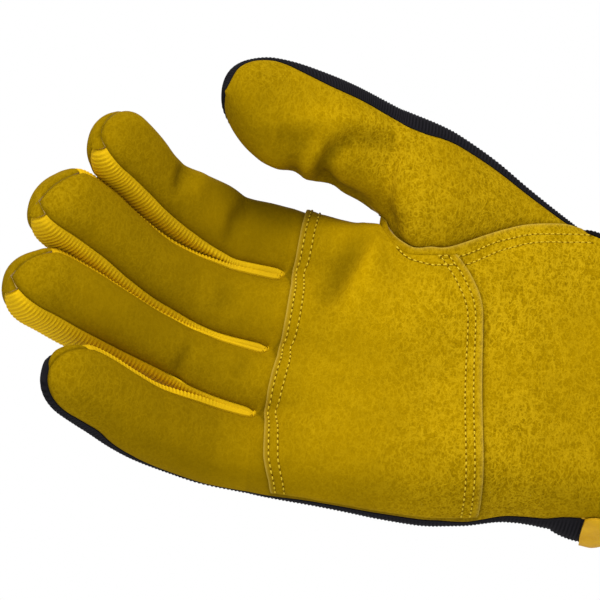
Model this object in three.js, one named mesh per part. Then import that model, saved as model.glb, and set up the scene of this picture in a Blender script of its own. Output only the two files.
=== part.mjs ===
// Right-hand leather work glove in its worn form, in millimetres.
// +X points out of the wrist opening, so the fingers point to -X.
// The palm faces -Y and the thumb is on the +Z side.
// The origin is the centre of the wrist opening.
import * as THREE from "three";

// Wall thicknesses and gaps
const LEATHER_THICKNESS = 1.4;
const KNIT_THICKNESS = 1.2;
const STRIP_THICKNESS = 1.2;
const SEAM_INSET = 0.2;
const PATCH_LIFT = 0.35;
const PATCH_THICKNESS = 1.1;
const STRAP_LIFT = 0.5;
const STRAP_THICKNESS = 1.5;
const BINDING_GAP = 0.35;
const BINDING_WIDTH = 3.2;
const BINDING_THICKNESS = 2.6;

// Mesh counts
const PANEL_COLUMNS = 6;
const STRIP_COLUMNS = 2;
const FINGER_ROWS = 13;
const THUMB_COLUMNS = 7;
const THUMB_ROWS = 9;

// Shape of a finger section: a rounded box, with the strips at its two sides
const SECTION_POWER = 2.3;
const STRIP_HALF_ANGLE = 32;
const STRIP_BACK_ANGLE = 42;
const TIP_ROUND_POWER = 2.3;

// Fingers, base to tip. The last row of each table is the tip point.
// x, y, z: centre line. width: half width along Z. depth: half depth.
const INDEX_SECTIONS = [
  { x: -161.5, y: 2.0, z: 36.0, width: 13.1, depth: 12.0 },
  { x: -179, y: 1.5, z: 37.2, width: 13.4, depth: 12.0 },
  { x: -190, y: -3.0, z: 39.2, width: 13.9, depth: 12.2 },
  { x: -200, y: -8.5, z: 40.4, width: 13.0, depth: 12.0 },
  { x: -209, y: -15, z: 43.0, width: 12.3, depth: 11.8 },
  { x: -217, y: -22.5, z: 47.4, width: 13.2, depth: 11.6 },
  { x: -224, y: -30, z: 50.0, width: 13.4, depth: 10.8 },
  { x: -230, y: -39.5, z: 48.6, width: 12.0, depth: 10.0 },
];
const MIDDLE_SECTIONS = [
  { x: -163.0, y: 2.0, z: 7.0, width: 13.2, depth: 12.2 },
  { x: -180, y: 1.6, z: 8.4, width: 13.2, depth: 12.2 },
  { x: -192, y: -1.0, z: 10.2, width: 13.5, depth: 12.3 },
  { x: -204, y: -7.0, z: 12.6, width: 13.8, depth: 12.2 },
  { x: -217, y: -14, z: 17.2, width: 14.1, depth: 13.0 },
  { x: -229, y: -22.5, z: 22.4, width: 14.5, depth: 13.0 },
  { x: -238, y: -30, z: 24.2, width: 14.0, depth: 12.6 },
  { x: -246, y: -39, z: 21.4, width: 12.6, depth: 11.6 },
];
const RING_SECTIONS = [
  { x: -165.0, y: 2.0, z: -18.6, width: 10.9, depth: 12.0 },
  { x: -180, y: 1.6, z: -16.2, width: 10.9, depth: 12.0 },
  { x: -192, y: -1.0, z: -14.2, width: 11.2, depth: 12.0 },
  { x: -204, y: -6.5, z: -11.6, width: 11.8, depth: 12.0 },
  { x: -217, y: -12.5, z: -8.7, width: 12.6, depth: 13.0 },
  { x: -230, y: -19.5, z: -5.8, width: 13.2, depth: 13.4 },
  { x: -241, y: -27, z: -4.1, width: 12.9, depth: 13.0 },
  { x: -250.8, y: -35.5, z: -5.2, width: 11.6, depth: 12.0 },
];
const PINKY_SECTIONS = [
  { x: -165.0, y: 2.0, z: -43.4, width: 12.3, depth: 11.8 },
  { x: -177, y: 0.5, z: -42.8, width: 12.6, depth: 11.8 },
  { x: -188, y: -4.0, z: -42.0, width: 12.7, depth: 11.7 },
  { x: -199, y: -10, z: -41.0, width: 12.8, depth: 11.5 },
  { x: -208, y: -16, z: -39.2, width: 13.0, depth: 11.3 },
  { x: -217, y: -22.5, z: -36.8, width: 12.9, depth: 10.8 },
  { x: -224.5, y: -28.5, z: -35.6, width: 12.3, depth: 10.2 },
  { x: -233, y: -36, z: -35.4, width: 11.4, depth: 9.6 },
];

// One row per finger, from the outer side of the hand inward.
// stripUlnar, stripRadial: is there a side strip on that side.
// stripEnd: row where the strips stop. capStart: row where the fingertip cap starts on the back.
const FINGERS = [
  {
    name: "pinky", sections: PINKY_SECTIONS, stripUlnar: false, stripRadial: true,
    stripEnd: 10, capStart: 99, tipRound: 15,
  },
  {
    name: "ring", sections: RING_SECTIONS, stripUlnar: true, stripRadial: true,
    stripEnd: 12, capStart: 10, tipRound: 15,
  },
  {
    name: "middle", sections: MIDDLE_SECTIONS, stripUlnar: true, stripRadial: true,
    stripEnd: 12, capStart: 10, tipRound: 16,
  },
  {
    name: "index", sections: INDEX_SECTIONS, stripUlnar: true, stripRadial: false,
    stripEnd: 12, capStart: 10, tipRound: 16,
  },
];

// How far forward of the side the palm leather stops along the pinky, base to tip, in degrees
const PINKY_SEAM_ANGLE = [
  { row: 0, angle: -12 },
  { row: 1, angle: -14 },
  { row: 3, angle: -16 },
  { row: 6, angle: -9 },
  { row: 8, angle: 3 },
  { row: 10, angle: -1 },
  { row: 13, angle: -6 },
];

// Sections of the palm by x. z values are the two side edges.
// The y values are the outer edge, three places across the front, and three across the back.
const PALM_SECTIONS = [
  {
    x: -164, zUlnar: -55.7, zRadial: 49.1, yUlnar: 1.5, frontUlnar: -10, frontMid: -10,
    frontRadial: -10, backUlnar: 13.5, backMid: 14, backRadial: 14,
  },
  {
    x: -157, zUlnar: -56.3, zRadial: 47.8, yUlnar: 1, frontUlnar: -13, frontMid: -12.5,
    frontRadial: -12, backUlnar: 15, backMid: 16, backRadial: 15,
  },
  {
    x: -140, zUlnar: -57.4, zRadial: 43.8, yUlnar: 0, frontUlnar: -17, frontMid: -15,
    frontRadial: -16, backUlnar: 16.5, backMid: 18, backRadial: 15.5,
  },
  {
    x: -131, zUlnar: -57.9, zRadial: 41.8, yUlnar: 0, frontUlnar: -18.5, frontMid: -15.5,
    frontRadial: -18, backUlnar: 17, backMid: 18.6, backRadial: 15.5,
  },
  {
    x: -119, zUlnar: -58.5, zRadial: 32.0, yUlnar: 0, frontUlnar: -20, frontMid: -15.5,
    frontRadial: -20, backUlnar: 17.5, backMid: 19.2, backRadial: 16,
  },
  {
    x: -106, zUlnar: -58.7, zRadial: 33.4, yUlnar: 0, frontUlnar: -21.5, frontMid: -16.5,
    frontRadial: -21, backUlnar: 17.5, backMid: 19.6, backRadial: 16.5,
  },
  {
    x: -90, zUlnar: -56.8, zRadial: 43.6, yUlnar: 0, frontUlnar: -22.5, frontMid: -18.5,
    frontRadial: -20, backUlnar: 17.5, backMid: 20, backRadial: 16.5,
  },
  {
    x: -75, zUlnar: -53.4, zRadial: 50.4, yUlnar: 0, frontUlnar: -22, frontMid: -19.5,
    frontRadial: -18.5, backUlnar: 17.5, backMid: 20.4, backRadial: 16,
  },
  {
    x: -57, zUlnar: -52.8, zRadial: 52.8, yUlnar: 0.5, frontUlnar: -19.5, frontMid: -19,
    frontRadial: -16.5, backUlnar: 18, backMid: 21, backRadial: 16,
  },
  {
    x: -42, zUlnar: -53.2, zRadial: 47.6, yUlnar: 0.5, frontUlnar: -19, frontMid: -20,
    frontRadial: -17.5, backUlnar: 18.5, backMid: 22, backRadial: 17.5,
  },
  {
    x: -20, zUlnar: -49.6, zRadial: 46.0, yUlnar: 0.2, frontUlnar: -20, frontMid: -22.5,
    frontRadial: -19.5, backUlnar: 19.5, backMid: 23, backRadial: 19.5,
  },
  {
    x: 0, zUlnar: -50, zRadial: 50, yUlnar: 0, frontUlnar: -22, frontMid: -25,
    frontRadial: -22, backUlnar: 22, backMid: 25, backRadial: 22,
  },
];

// Where the palm leather ends toward the thumb: the thumb seam on the palm, and on the back.
// round: 1 where the panel ends in a rounded side edge, 0 where it ends on a seam.
const THUMB_SEAM = [
  { x: -164, y: 0, zBack: 49.1, yBack: 0, round: 1 },
  { x: -148, y: -1, zBack: 47.0, yBack: -1, round: 1 },
  { x: -140, y: -3.5, zBack: 44.8, yBack: -3.5, round: 1 },
  { x: -131, y: -9.5, zBack: 41.8, yBack: -9.5, round: 1 },
  { x: -126.4, y: -15.5, zBack: 42.6, yBack: -1, round: 0.45 },
  { x: -119, y: -20, zBack: 41.2, yBack: 4, round: 0.1 },
  { x: -106, y: -21.5, zBack: 42.0, yBack: 8.5, round: 0 },
  { x: -93, y: -18, zBack: 46.0, yBack: 11, round: 0 },
  { x: -80, y: -14, zBack: 50.0, yBack: 10.5, round: 0 },
  { x: -68, y: -9.5, zBack: 52.6, yBack: 4, round: 0.4 },
  { x: -57.2, y: -5, zBack: 52.8, yBack: -5, round: 1 },
  { x: -25, y: -4.5, zBack: 46, yBack: -4.5, round: 1 },
  { x: 0, y: -4, zBack: 50, yBack: -4, round: 1 },
];

// Where the palm leather meets the knit back along the outer side of the hand.
// rise: share of the way from the outermost line to the flat of the palm, negative toward the back
const OUTER_SEAM = [
  { x: -164, rise: -0.3 },
  { x: -157, rise: -0.2 },
  { x: -145, rise: -0.06 },
  { x: -130, rise: 0.01 },
  { x: -100, rise: 0.04 },
  { x: -90, rise: -0.08 },
  { x: -84, rise: -0.02 },
  { x: -74, rise: 0.08 },
  { x: -64, rise: 0.14 },
  { x: -57, rise: 0.3 },
  { x: -52, rise: 0.3564 },
];
const WEB_X = -131;
const THUMB_END_X = -57.1;
const WEB_MIDDLE_Z = 44.2;

// Outer edge of the thumb base by x, with how far the front and the back stand out
const THUMB_BASE = [
  { x: -131, y: -19, z: 85.2, front: 12.5, back: 13.0 },
  { x: -114, y: -15, z: 82.6, front: 10.0, back: 14.0 },
  { x: -99, y: -11, z: 77.6, front: 7.5, back: 13.0 },
  { x: -83, y: -8, z: 68.2, front: 4.6, back: 10.0 },
  { x: -69, y: -6.5, z: 59.6, front: 1.4, back: 6.0 },
  { x: -57, y: -5, z: 52.8, front: 0, back: 0 },
];

// Free part of the thumb, web to tip: its lower edge, its outer edge, and its half depth.
// The last row is the tip point.
const THUMB_SECTIONS = [
  { xLow: -131, yLow: -10, zLow: 46.6, xTop: -131, yTop: -19, zTop: 85.2, depth: 13.0 },
  { xLow: -141, yLow: -14, zLow: 49.4, xTop: -142, yTop: -23.5, zTop: 87.0, depth: 13.2 },
  { xLow: -152, yLow: -19.5, zLow: 50.2, xTop: -154, yTop: -28.5, zTop: 88.2, depth: 13.2 },
  { xLow: -163, yLow: -25, zLow: 50.4, xTop: -166, yTop: -33, zTop: 88.8, depth: 13.0 },
  { xLow: -172, yLow: -29.5, zLow: 51.4, xTop: -176, yTop: -37, zTop: 87.8, depth: 12.4 },
  { xLow: -180, yLow: -34.5, zLow: 55.0, xTop: -184, yTop: -40, zTop: 84.4, depth: 11.2 },
  { xLow: -186.5, yLow: -39.5, zLow: 61.5, xTop: -188.5, yTop: -42.5, zTop: 79.0, depth: 8.6 },
  { xLow: -190.5, yLow: -44, zLow: 70.0, xTop: -190.5, yTop: -44, zTop: 70.0, depth: 0 },
];
const THUMB_SEAM_SHARE = 0.885;
const THUMB_TILT = 0.24;
const THUMB_CROWDING = 0.9;
const THUMB_BULGE_POWER = 2.25;

// Palm patch: its two side edges, outer side of the hand to the thumb side
const PATCH_EDGES = [
  { across: 0.0, left: -155.5, right: -86.5 },
  { across: 0.1, left: -159.5, right: -87.5 },
  { across: 0.3, left: -161.0, right: -89.5 },
  { across: 0.5, left: -159.0, right: -91.0 },
  { across: 0.7, left: -158.5, right: -93.0 },
  { across: 0.85, left: -158.0, right: -98.0 },
  { across: 1.0, left: -157.0, right: -106.0 },
];
const PATCH_ROW_SHARES = [0, 0.17, 0.34, 0.51, 0.6, 0.74, 0.87, 1];
const HEEL_ROW_SHARES = [0.12, 0.24, 0.35, 0.42, 0.462, 0.56, 0.68, 0.84, 1];
const WEB_ROW = 4;
const THUMB_START_ROW = 13;
const PATCH_FIRST_ROW = 1;
const PATCH_LAST_ROW = 8;
const PATCH_FIRST_COLUMN = 1;
const ULNAR_SEAM_SHARE = 0.008;
const SCALLOP_LENGTH = 26;
const EDGE_ROUND_SHARE = 0.18;
const EDGE_BEND = 2.4;
const EDGE_RISE = 2.2;
const BACK_FIRST_RISE = -0.111;
const BACK_STEP_RISE = 0.2;

// Wrist strap: its two edges along X by share of its length, from the palm side
// round the outer edge of the wrist to its free end on the back
const STRAP_SECTIONS = [
  { share: 0, left: -44, right: -12 },
  { share: 0.04, left: -52.5, right: -12 },
  { share: 0.09, left: -52.5, right: -12.5 },
  { share: 0.35, left: -48, right: -13 },
  { share: 0.8, left: -44, right: -16 },
  { share: 0.93, left: -41.5, right: -18.5 },
  { share: 1, left: -36, right: -24 },
];
const STRAP_START = -5;
const STRAP_END = 92;
const STRAP_MIDDLE_X = -33;
const STRAP_SHARES = [0, 0.33, 0.67, 1];

// Colours
const SUEDE_COLOUR = 0xad8410;
const SUEDE_LIGHT_COLOUR = 0xb58c18;
const STRIP_COLOUR = 0xc79a12;
const KNIT_COLOUR = 0x232123;
const STRAP_COLOUR = 0xc49618;

const clamp = (value, low, high) => Math.min(high, Math.max(low, value));
const mix = (a, b, share) => a + (b - a) * share;
const mixPoint = (a, b, share) => a.map((value, axis) => mix(value, b[axis], share));
const smooth = (share) => {
  const s = clamp(share, 0, 1);
  return s * s * (3 - 2 * s);
};
const radians = (degrees) => (degrees * Math.PI) / 180;

// Smooth curve through one column of a table, by monotone slopes so it never overshoots.
function tableValue(table, at, column, key) {
  const n = table.length;
  const xs = table.map((row) => row[key]);
  const ys = table.map((row) => row[column]);
  const sign = xs[n - 1] > xs[0] ? 1 : -1;
  const position = clamp(sign * at, sign * xs[0], sign * xs[n - 1]) * sign;
  let k = 0;
  while (k < n - 2 && sign * position > sign * xs[k + 1]) {
    k += 1;
  }
  const slope = (i) => (ys[i + 1] - ys[i]) / (xs[i + 1] - xs[i]);
  const tangent = (i) => {
    if (i === 0) return slope(0);
    if (i === n - 1) return slope(n - 2);
    const before = slope(i - 1);
    const after = slope(i);
    return before * after <= 0 ? 0 : (2 * before * after) / (before + after);
  };
  const width = xs[k + 1] - xs[k];
  const t = (position - xs[k]) / width;
  const t2 = t * t;
  const t3 = t2 * t;
  return (
    (2 * t3 - 3 * t2 + 1) * ys[k] +
    (t3 - 2 * t2 + t) * width * tangent(k) +
    (-2 * t3 + 3 * t2) * ys[k + 1] +
    (t3 - t2) * width * tangent(k + 1)
  );
}

// Power of a sine or cosine that keeps its sign
const signedPower = (value, power) => Math.sign(value) * Math.abs(value) ** power;

// Adds the distance along the centre line to each row of a finger table.
function withDistance(sections) {
  let distance = 0;
  return sections.map((row, i) => {
    if (i > 0) {
      const before = sections[i - 1];
      distance += Math.hypot(row.x - before.x, row.y - before.y, row.z - before.z);
    }
    return { ...row, distance };
  });
}

// Rows of a finger stand closer together toward its tip.
const fingerShare = (row) => 1 - (1 - row / FINGER_ROWS) ** 1.35;

// Returns point(row, angle): a place on the skin of a finger.
// Angle 0 is the thumb side, 90 the palm side, 180 the outer side, 270 the back.
function fingerSkin(finger) {
  const table = withDistance(finger.sections);
  const length = table[table.length - 1].distance;
  const centre = (d) => ["x", "y", "z"].map((axis) => tableValue(table, d, axis, "distance"));
  return (row, angle) => {
    const d = length * fingerShare(row);
    const [x, y, z] = centre(d);
    const before = centre(Math.max(0, d - 2));
    const after = centre(Math.min(length, d + 2));
    const run = Math.hypot(after[0] - before[0], after[1] - before[1]);
    const bend = smooth(d / 14);
    const alongX = mix(-1, (after[0] - before[0]) / run, bend);
    const alongY = mix(0, (after[1] - before[1]) / run, bend);
    const intoTip = clamp((d - (length - finger.tipRound)) / finger.tipRound, 0, 1);
    const shrink = (1 - intoTip ** TIP_ROUND_POWER) ** (1 / TIP_ROUND_POWER);
    const width = tableValue(table, d, "width", "distance") * shrink;
    const depth = tableValue(table, d, "depth", "distance") * shrink;
    const across = signedPower(Math.cos(radians(angle)), 2 / SECTION_POWER) * width;
    const forward = signedPower(Math.sin(radians(angle)), 2 / SECTION_POWER) * depth;
    return [x - alongY * forward, y + alongX * forward, z + across];
  };
}

// Angles of the columns of a finger: its front, its back, and the side strips between them
function fingerAngles(finger, row) {
  const outerSeam = finger.stripUlnar ? STRIP_HALF_ANGLE : tableValue(PINKY_SEAM_ANGLE, row, "angle", "row");
  const innerSeam = finger.stripRadial ? STRIP_HALF_ANGLE : 0;
  const spread = (from, to, count) =>
    Array.from({ length: count + 1 }, (_, i) => mix(from, to, i / count));
  const front = spread(180 - outerSeam, innerSeam, PANEL_COLUMNS);
  const backFrom = finger.stripUlnar ? 180 + STRIP_BACK_ANGLE : 206;
  const back = spread(backFrom, 360 - innerSeam, PANEL_COLUMNS);
  const outerSide = finger.stripUlnar ? spread(180 - outerSeam, backFrom, STRIP_COLUMNS) : [];
  const innerSide = finger.stripRadial ? spread(innerSeam, -innerSeam, STRIP_COLUMNS) : [];
  if (!finger.stripUlnar) {
    back.unshift(180 - outerSeam);
  }
  return { front, back, outerSide, innerSide };
}

const skins = FINGERS.map(fingerSkin);
const fingerRow = (f, row) => {
  const angles = fingerAngles(FINGERS[f], row);
  const place = (list) => list.map((angle) => skins[f](row, angle));
  return {
    front: place(angles.front),
    back: place(angles.back),
    outerSide: place(angles.outerSide),
    innerSide: place(angles.innerSide),
  };
};

// First row of all the fingers: the line where the palm splits into them
const baseRows = FINGERS.map((_, f) => fingerRow(f, 0));
const baseFront = baseRows.flatMap((row) => row.front);
const baseBack = baseRows.flatMap((row) => row.back);
const shareAcross = (points) => {
  const first = points[0][2];
  const last = points[points.length - 1][2];
  return points.map((p) => (p[2] - first) / (last - first));
};
const frontShares = shareAcross(baseFront);
const backShares = shareAcross(baseBack);

// Height of the palm or of the back of the hand at x, with share 0 at the outer edge and 1 inside
function palmPoint(x, share, side) {
  const shared = side === "front" || x <= WEB_X + 0.1 || x >= THUMB_END_X;
  const seamZ = shared
    ? tableValue(PALM_SECTIONS, x, "zRadial", "x")
    : tableValue(THUMB_SEAM, x, "zBack", "x");
  const seamY = tableValue(THUMB_SEAM, x, shared ? "y" : "yBack", "x");
  const round = tableValue(THUMB_SEAM, x, "round", "x");
  const outerZ = tableValue(PALM_SECTIONS, x, "zUlnar", "x");
  const outerY = tableValue(PALM_SECTIONS, x, "yUlnar", "x");
  const heights = [
    { share: 0, y: tableValue(PALM_SECTIONS, x, side + "Ulnar", "x") },
    { share: EDGE_ROUND_SHARE, y: tableValue(PALM_SECTIONS, x, side + "Ulnar", "x") },
    { share: 0.5, y: tableValue(PALM_SECTIONS, x, side + "Mid", "x") },
    { share: 1 - EDGE_ROUND_SHARE, y: tableValue(PALM_SECTIONS, x, side + "Radial", "x") },
    { share: 1, y: mix(seamY, tableValue(PALM_SECTIONS, x, side + "Radial", "x"), round) },
  ];
  const s = clamp(share, 0, 1);
  let y = tableValue(heights, s, "y", "share");
  if (s < EDGE_ROUND_SHARE) {
    const rise = (1 - (1 - s / EDGE_ROUND_SHARE) ** EDGE_BEND) ** (1 / EDGE_RISE);
    y = mix(outerY, y, rise);
  }
  if (s > 1 - EDGE_ROUND_SHARE) {
    const into = (s - 1 + EDGE_ROUND_SHARE) / EDGE_ROUND_SHARE;
    const rise = (1 - into ** EDGE_BEND) ** (1 / EDGE_RISE);
    y = mix(y, mix(seamY, y, rise), round);
  }
  return [x, y, mix(outerZ, seamZ, s)];
}

const PALM_ROWS = PATCH_ROW_SHARES.length + HEEL_ROW_SHARES.length;
const patchEdge = (share, side) => tableValue(PATCH_EDGES, clamp(share, 0, 1), side, "across");

// x of a palm row at a share across the hand
function palmRowX(row, share) {
  if (row <= PATCH_ROW_SHARES.length) {
    return mix(patchEdge(share, "left"), patchEdge(share, "right"), PATCH_ROW_SHARES[row - 1]);
  }
  return mix(patchEdge(share, "right"), 0, HEEL_ROW_SHARES[row - 1 - PATCH_ROW_SHARES.length]);
}

// Place on the rounded outer edge of the hand by its rise
const edgePlace = (rise) => ({
  side: rise < 0 ? "back" : "front",
  share: EDGE_ROUND_SHARE * (1 - (1 - Math.abs(rise) ** EDGE_RISE) ** (1 / EDGE_BEND)),
});

// One row of the palm side or of the back of the hand, outer edge first
function palmRow(row, side) {
  const shares = side === "front" ? frontShares : backShares;
  const base = side === "front" ? baseFront : baseBack;
  if (row === 0) return base;
  const seamRise = tableValue(OUTER_SEAM, palmRowX(row, ULNAR_SEAM_SHARE), "rise", "x");
  const firstRise = Math.min(BACK_FIRST_RISE, seamRise - BACK_STEP_RISE);
  const points = shares.map((raw, column) => {
    const toWeb = row > WEB_ROW ? raw * 0.965 : raw;
    let share = mix(ULNAR_SEAM_SHARE, 1, toWeb);
    let onSide = side;
    if (column === 0) ({ side: onSide, share } = edgePlace(seamRise));
    if (side === "back" && column === 1) ({ share } = edgePlace(firstRise));
    const x = palmRowX(row, share);
    const fade = 1 - smooth((x - base[column][0]) / SCALLOP_LENGTH);
    const point = palmPoint(x, share, onSide);
    if (fade <= 0) return point;
    const flat = palmPoint(base[column][0], share, onSide);
    return [
      point[0],
      point[1] + fade * (base[column][1] - flat[1]),
      point[2] + fade * (base[column][2] - flat[2]),
    ];
  });
  if (row === WEB_ROW) {
    points.push([WEB_X - 0.6, -10.5, WEB_MIDDLE_Z]);
  } else if (row > WEB_ROW) {
    points.push(palmPoint(palmRowX(row, 1), 1, side));
  }
  return points;
}

// The skin is one surface. Each face carries the name of its piece.
const skinPoints = [];
const skinFaces = [];
const pointNumbers = new Map();

function pointNumber(point) {
  const key = point.map((value) => Math.round(value * 1000)).join(",");
  if (!pointNumbers.has(key)) {
    pointNumbers.set(key, skinPoints.length);
    skinPoints.push(point);
  }
  return pointNumbers.get(key);
}

function addFace(piece, corners) {
  const numbers = [...new Set(corners.map(pointNumber))];
  if (numbers.length < 3) return;
  skinFaces.push({ piece, corners: [numbers[0], numbers[1], numbers[2]] });
  if (numbers.length === 4) {
    skinFaces.push({ piece, corners: [numbers[0], numbers[2], numbers[3]] });
  }
}

// Joins two rows of points. pieceOf gives the piece of each column.
function joinRows(first, second, pieceOf, turned) {
  for (let column = 0; column + 1 < first.length; column += 1) {
    const corners = [first[column], first[column + 1], second[column + 1], second[column]];
    addFace(pieceOf(column), turned ? corners.reverse() : corners);
  }
}

const stripNames = ["side_strip_ring_pinky", "side_strip_middle_ring", "side_strip_index_middle"];

function addFingers() {
  FINGERS.forEach((finger, f) => {
    const capName = "tip_cap_" + finger.name;
    const hasCap = finger.capStart < FINGER_ROWS;
    let before = baseRows[f];
    for (let row = 1; row <= FINGER_ROWS; row += 1) {
      const now = fingerRow(f, row);
      const beyondStrip = row > finger.stripEnd;
      const sidePiece = hasCap ? capName : "palm_leather";
      joinRows(before.front, now.front, () => "palm_leather", false);
      joinRows(before.back, now.back, () => (row > finger.capStart ? capName : "hand_back"), true);
      joinRows(before.outerSide, now.outerSide, () => (beyondStrip ? sidePiece : stripNames[f - 1]), true);
      joinRows(before.innerSide, now.innerSide, () => (beyondStrip ? sidePiece : stripNames[f]), false);
      before = now;
    }
  });
  stripNames.forEach((name, f) => {
    joinRows(baseRows[f].innerSide, baseRows[f + 1].outerSide, () => name, true);
  });
}

function addPalm() {
  for (let row = 1; row <= PALM_ROWS; row += 1) {
    for (const side of ["front", "back"]) {
      const before = palmRow(row - 1, side);
      const now = palmRow(row, side);
      const name = side === "front" ? "palm_leather" : "hand_back";
      joinRows(before, now, () => name, side === "front");
    }
  }
}

// Row of the thumb base: from the palm seam over the outer edge to the seam on the back
function thumbBaseRow(row) {
  const frontRow = palmRow(row, "front");
  const backRow = palmRow(row, "back");
  const low = frontRow[frontRow.length - 1];
  const lowBack = backRow[backRow.length - 1];
  const x = low[0];
  const top = [x, tableValue(THUMB_BASE, x, "y", "x"), tableValue(THUMB_BASE, x, "z", "x")];
  const frontBulge = tableValue(THUMB_BASE, x, "front", "x");
  const backBulge = tableValue(THUMB_BASE, x, "back", "x");
  const lowRound = clamp((-100 - x) / 31, 0, 1);
  return thumbRow(low, lowBack, top, frontBulge, backBulge, thumbForward(0), lowRound);
}

// Shares of the thumb columns between its lower and its outer edge
const thumbShares = Array.from({ length: THUMB_COLUMNS + 1 }, (_, i) => {
  const even = i / THUMB_COLUMNS;
  const crowded = (1 - Math.cos(Math.PI * even * THUMB_CROWDING)) / (1 - Math.cos(Math.PI * THUMB_CROWDING));
  return THUMB_SEAM_SHARE * mix(even, crowded, 0.6);
});
const thumbBackShares = [...thumbShares.slice(1, THUMB_COLUMNS).map((share) => share / THUMB_SEAM_SHARE), 1];

// Direction that the thumb's palm side faces, turn 0 at its base and 1 on its free part
function thumbForward(turn) {
  const alongX = 0.42 * turn;
  return [alongX, -Math.sqrt(1 - alongX ** 2 - THUMB_TILT ** 2), -THUMB_TILT];
}

// One section of the thumb. lowRound is 1 where its lower edge is round, 0 where it runs on into the palm.
function thumbRow(low, lowBack, top, frontBulge, backBulge, forward, lowRound) {
  const bulge = (share) => {
    const round = (1 - Math.abs(2 * share - 1) ** THUMB_BULGE_POWER) ** (1 / THUMB_BULGE_POWER);
    return share < 0.5 ? mix(Math.sin(Math.PI * share), round, lowRound) : round;
  };
  const place = (from, share, size) => {
    const point = mixPoint(from, top, share);
    point[0] += forward[0] * size * bulge(share);
    point[1] += forward[1] * size * bulge(share);
    point[2] += forward[2] * size * bulge(share);
    return point;
  };
  const front = thumbShares.map((share) => place(low, share, frontBulge));
  const back = [lowBack, ...thumbBackShares.map((share) => place(lowBack, share, -backBulge))];
  return { front, back: [...back, front[front.length - 1]] };
}

// Row of the free thumb, 0 at the web
function thumbTubeRow(row) {
  const share = 1 - (1 - row / THUMB_ROWS) ** 1.3;
  const at = (share * (THUMB_SECTIONS.length - 1));
  const table = THUMB_SECTIONS.map((section, i) => ({ ...section, place: i }));
  const value = (column) => tableValue(table, at, column, "place");
  const low = [value("xLow"), value("yLow"), value("zLow")];
  const top = [value("xTop"), value("yTop"), value("zTop")];
  return thumbRow(low, low, top, value("depth"), value("depth"), thumbForward(smooth(row / 2.5)), 1);
}

function addThumb() {
  const backPiece = () => "thumb_back";
  const frontPiece = () => "thumb_leather";
  const tubeBackPiece = (column) => (column === 0 ? "thumb_leather" : "thumb_back");
  const start = palmRow(THUMB_START_ROW, "front").at(-1);
  let before = { front: thumbShares.map(() => start), back: [...thumbShares, 1].map(() => start) };
  for (let row = THUMB_START_ROW - 1; row >= WEB_ROW + 1; row -= 1) {
    const now = thumbBaseRow(row);
    joinRows(before.front, now.front, frontPiece, false);
    joinRows(before.back, now.back, backPiece, true);
    before = now;
  }
  const web = thumbTubeRow(0);
  const middle = palmRow(WEB_ROW, "front").at(-1);
  addFace("thumb_leather", [before.front[0], middle, web.front[0]].reverse());
  addFace("thumb_back", [before.back[0], middle, web.back[0]]);
  joinRows(before.front, web.front, frontPiece, false);
  joinRows(before.back, web.back, backPiece, true);
  before = web;
  for (let row = 1; row <= THUMB_ROWS; row += 1) {
    const now = thumbTubeRow(row);
    joinRows(before.front, now.front, frontPiece, false);
    joinRows(before.back, now.back, tubeBackPiece, true);
    before = now;
  }
}

addFingers();
addPalm();
addThumb();

const vector = (number) => new THREE.Vector3(...skinPoints[number]);
const skinNormals = skinPoints.map(() => new THREE.Vector3());
const skinEdges = new Map();
skinFaces.forEach(({ corners }) => {
  const [a, b, c] = corners.map(vector);
  const normal = new THREE.Vector3().crossVectors(b.clone().sub(a), c.clone().sub(a)).normalize();
  corners.forEach((number, i) => {
    const to = vector(corners[(i + 1) % 3]).sub(vector(number));
    const from = vector(corners[(i + 2) % 3]).sub(vector(number));
    skinNormals[number].addScaledVector(normal, to.angleTo(from));
    const next = corners[(i + 1) % 3];
    const key = Math.min(number, next) + "," + Math.max(number, next);
    skinEdges.set(key, (skinEdges.get(key) || 0) + 1);
  });
});
skinNormals.forEach((normal) => normal.normalize());

// Closed sheet from a surface: points, normals, faces, and how far its outside and inside stand off.
// The edge walls are split from the point of the lower rank, so walls that face each other stay parallel.
function sheetGeometry(points, normals, faces, outside, inside, ranks) {
  const positions = [];
  const indices = [];
  const count = points.length;
  for (const lift of [outside, inside]) {
    points.forEach((point, i) => {
      positions.push(...point.clone().addScaledVector(normals[i], lift).toArray());
    });
  }
  const edges = new Map();
  faces.forEach(([a, b, c]) => {
    indices.push(a, b, c, count + c, count + b, count + a);
    [[a, b], [b, c], [c, a]].forEach(([from, to]) => edges.set(from + "," + to, [from, to]));
  });
  edges.forEach(([from, to]) => {
    if (edges.has(to + "," + from)) return;
    if (ranks[from] < ranks[to]) {
      indices.push(to, from, count + to, from, count + from, count + to);
    } else {
      indices.push(to, from, count + from, to, count + from, count + to);
    }
  });
  const geometry = new THREE.BufferGeometry();
  geometry.setAttribute("position", new THREE.Float32BufferAttribute(positions, 3));
  geometry.setIndex(indices);
  return geometry;
}

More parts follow.
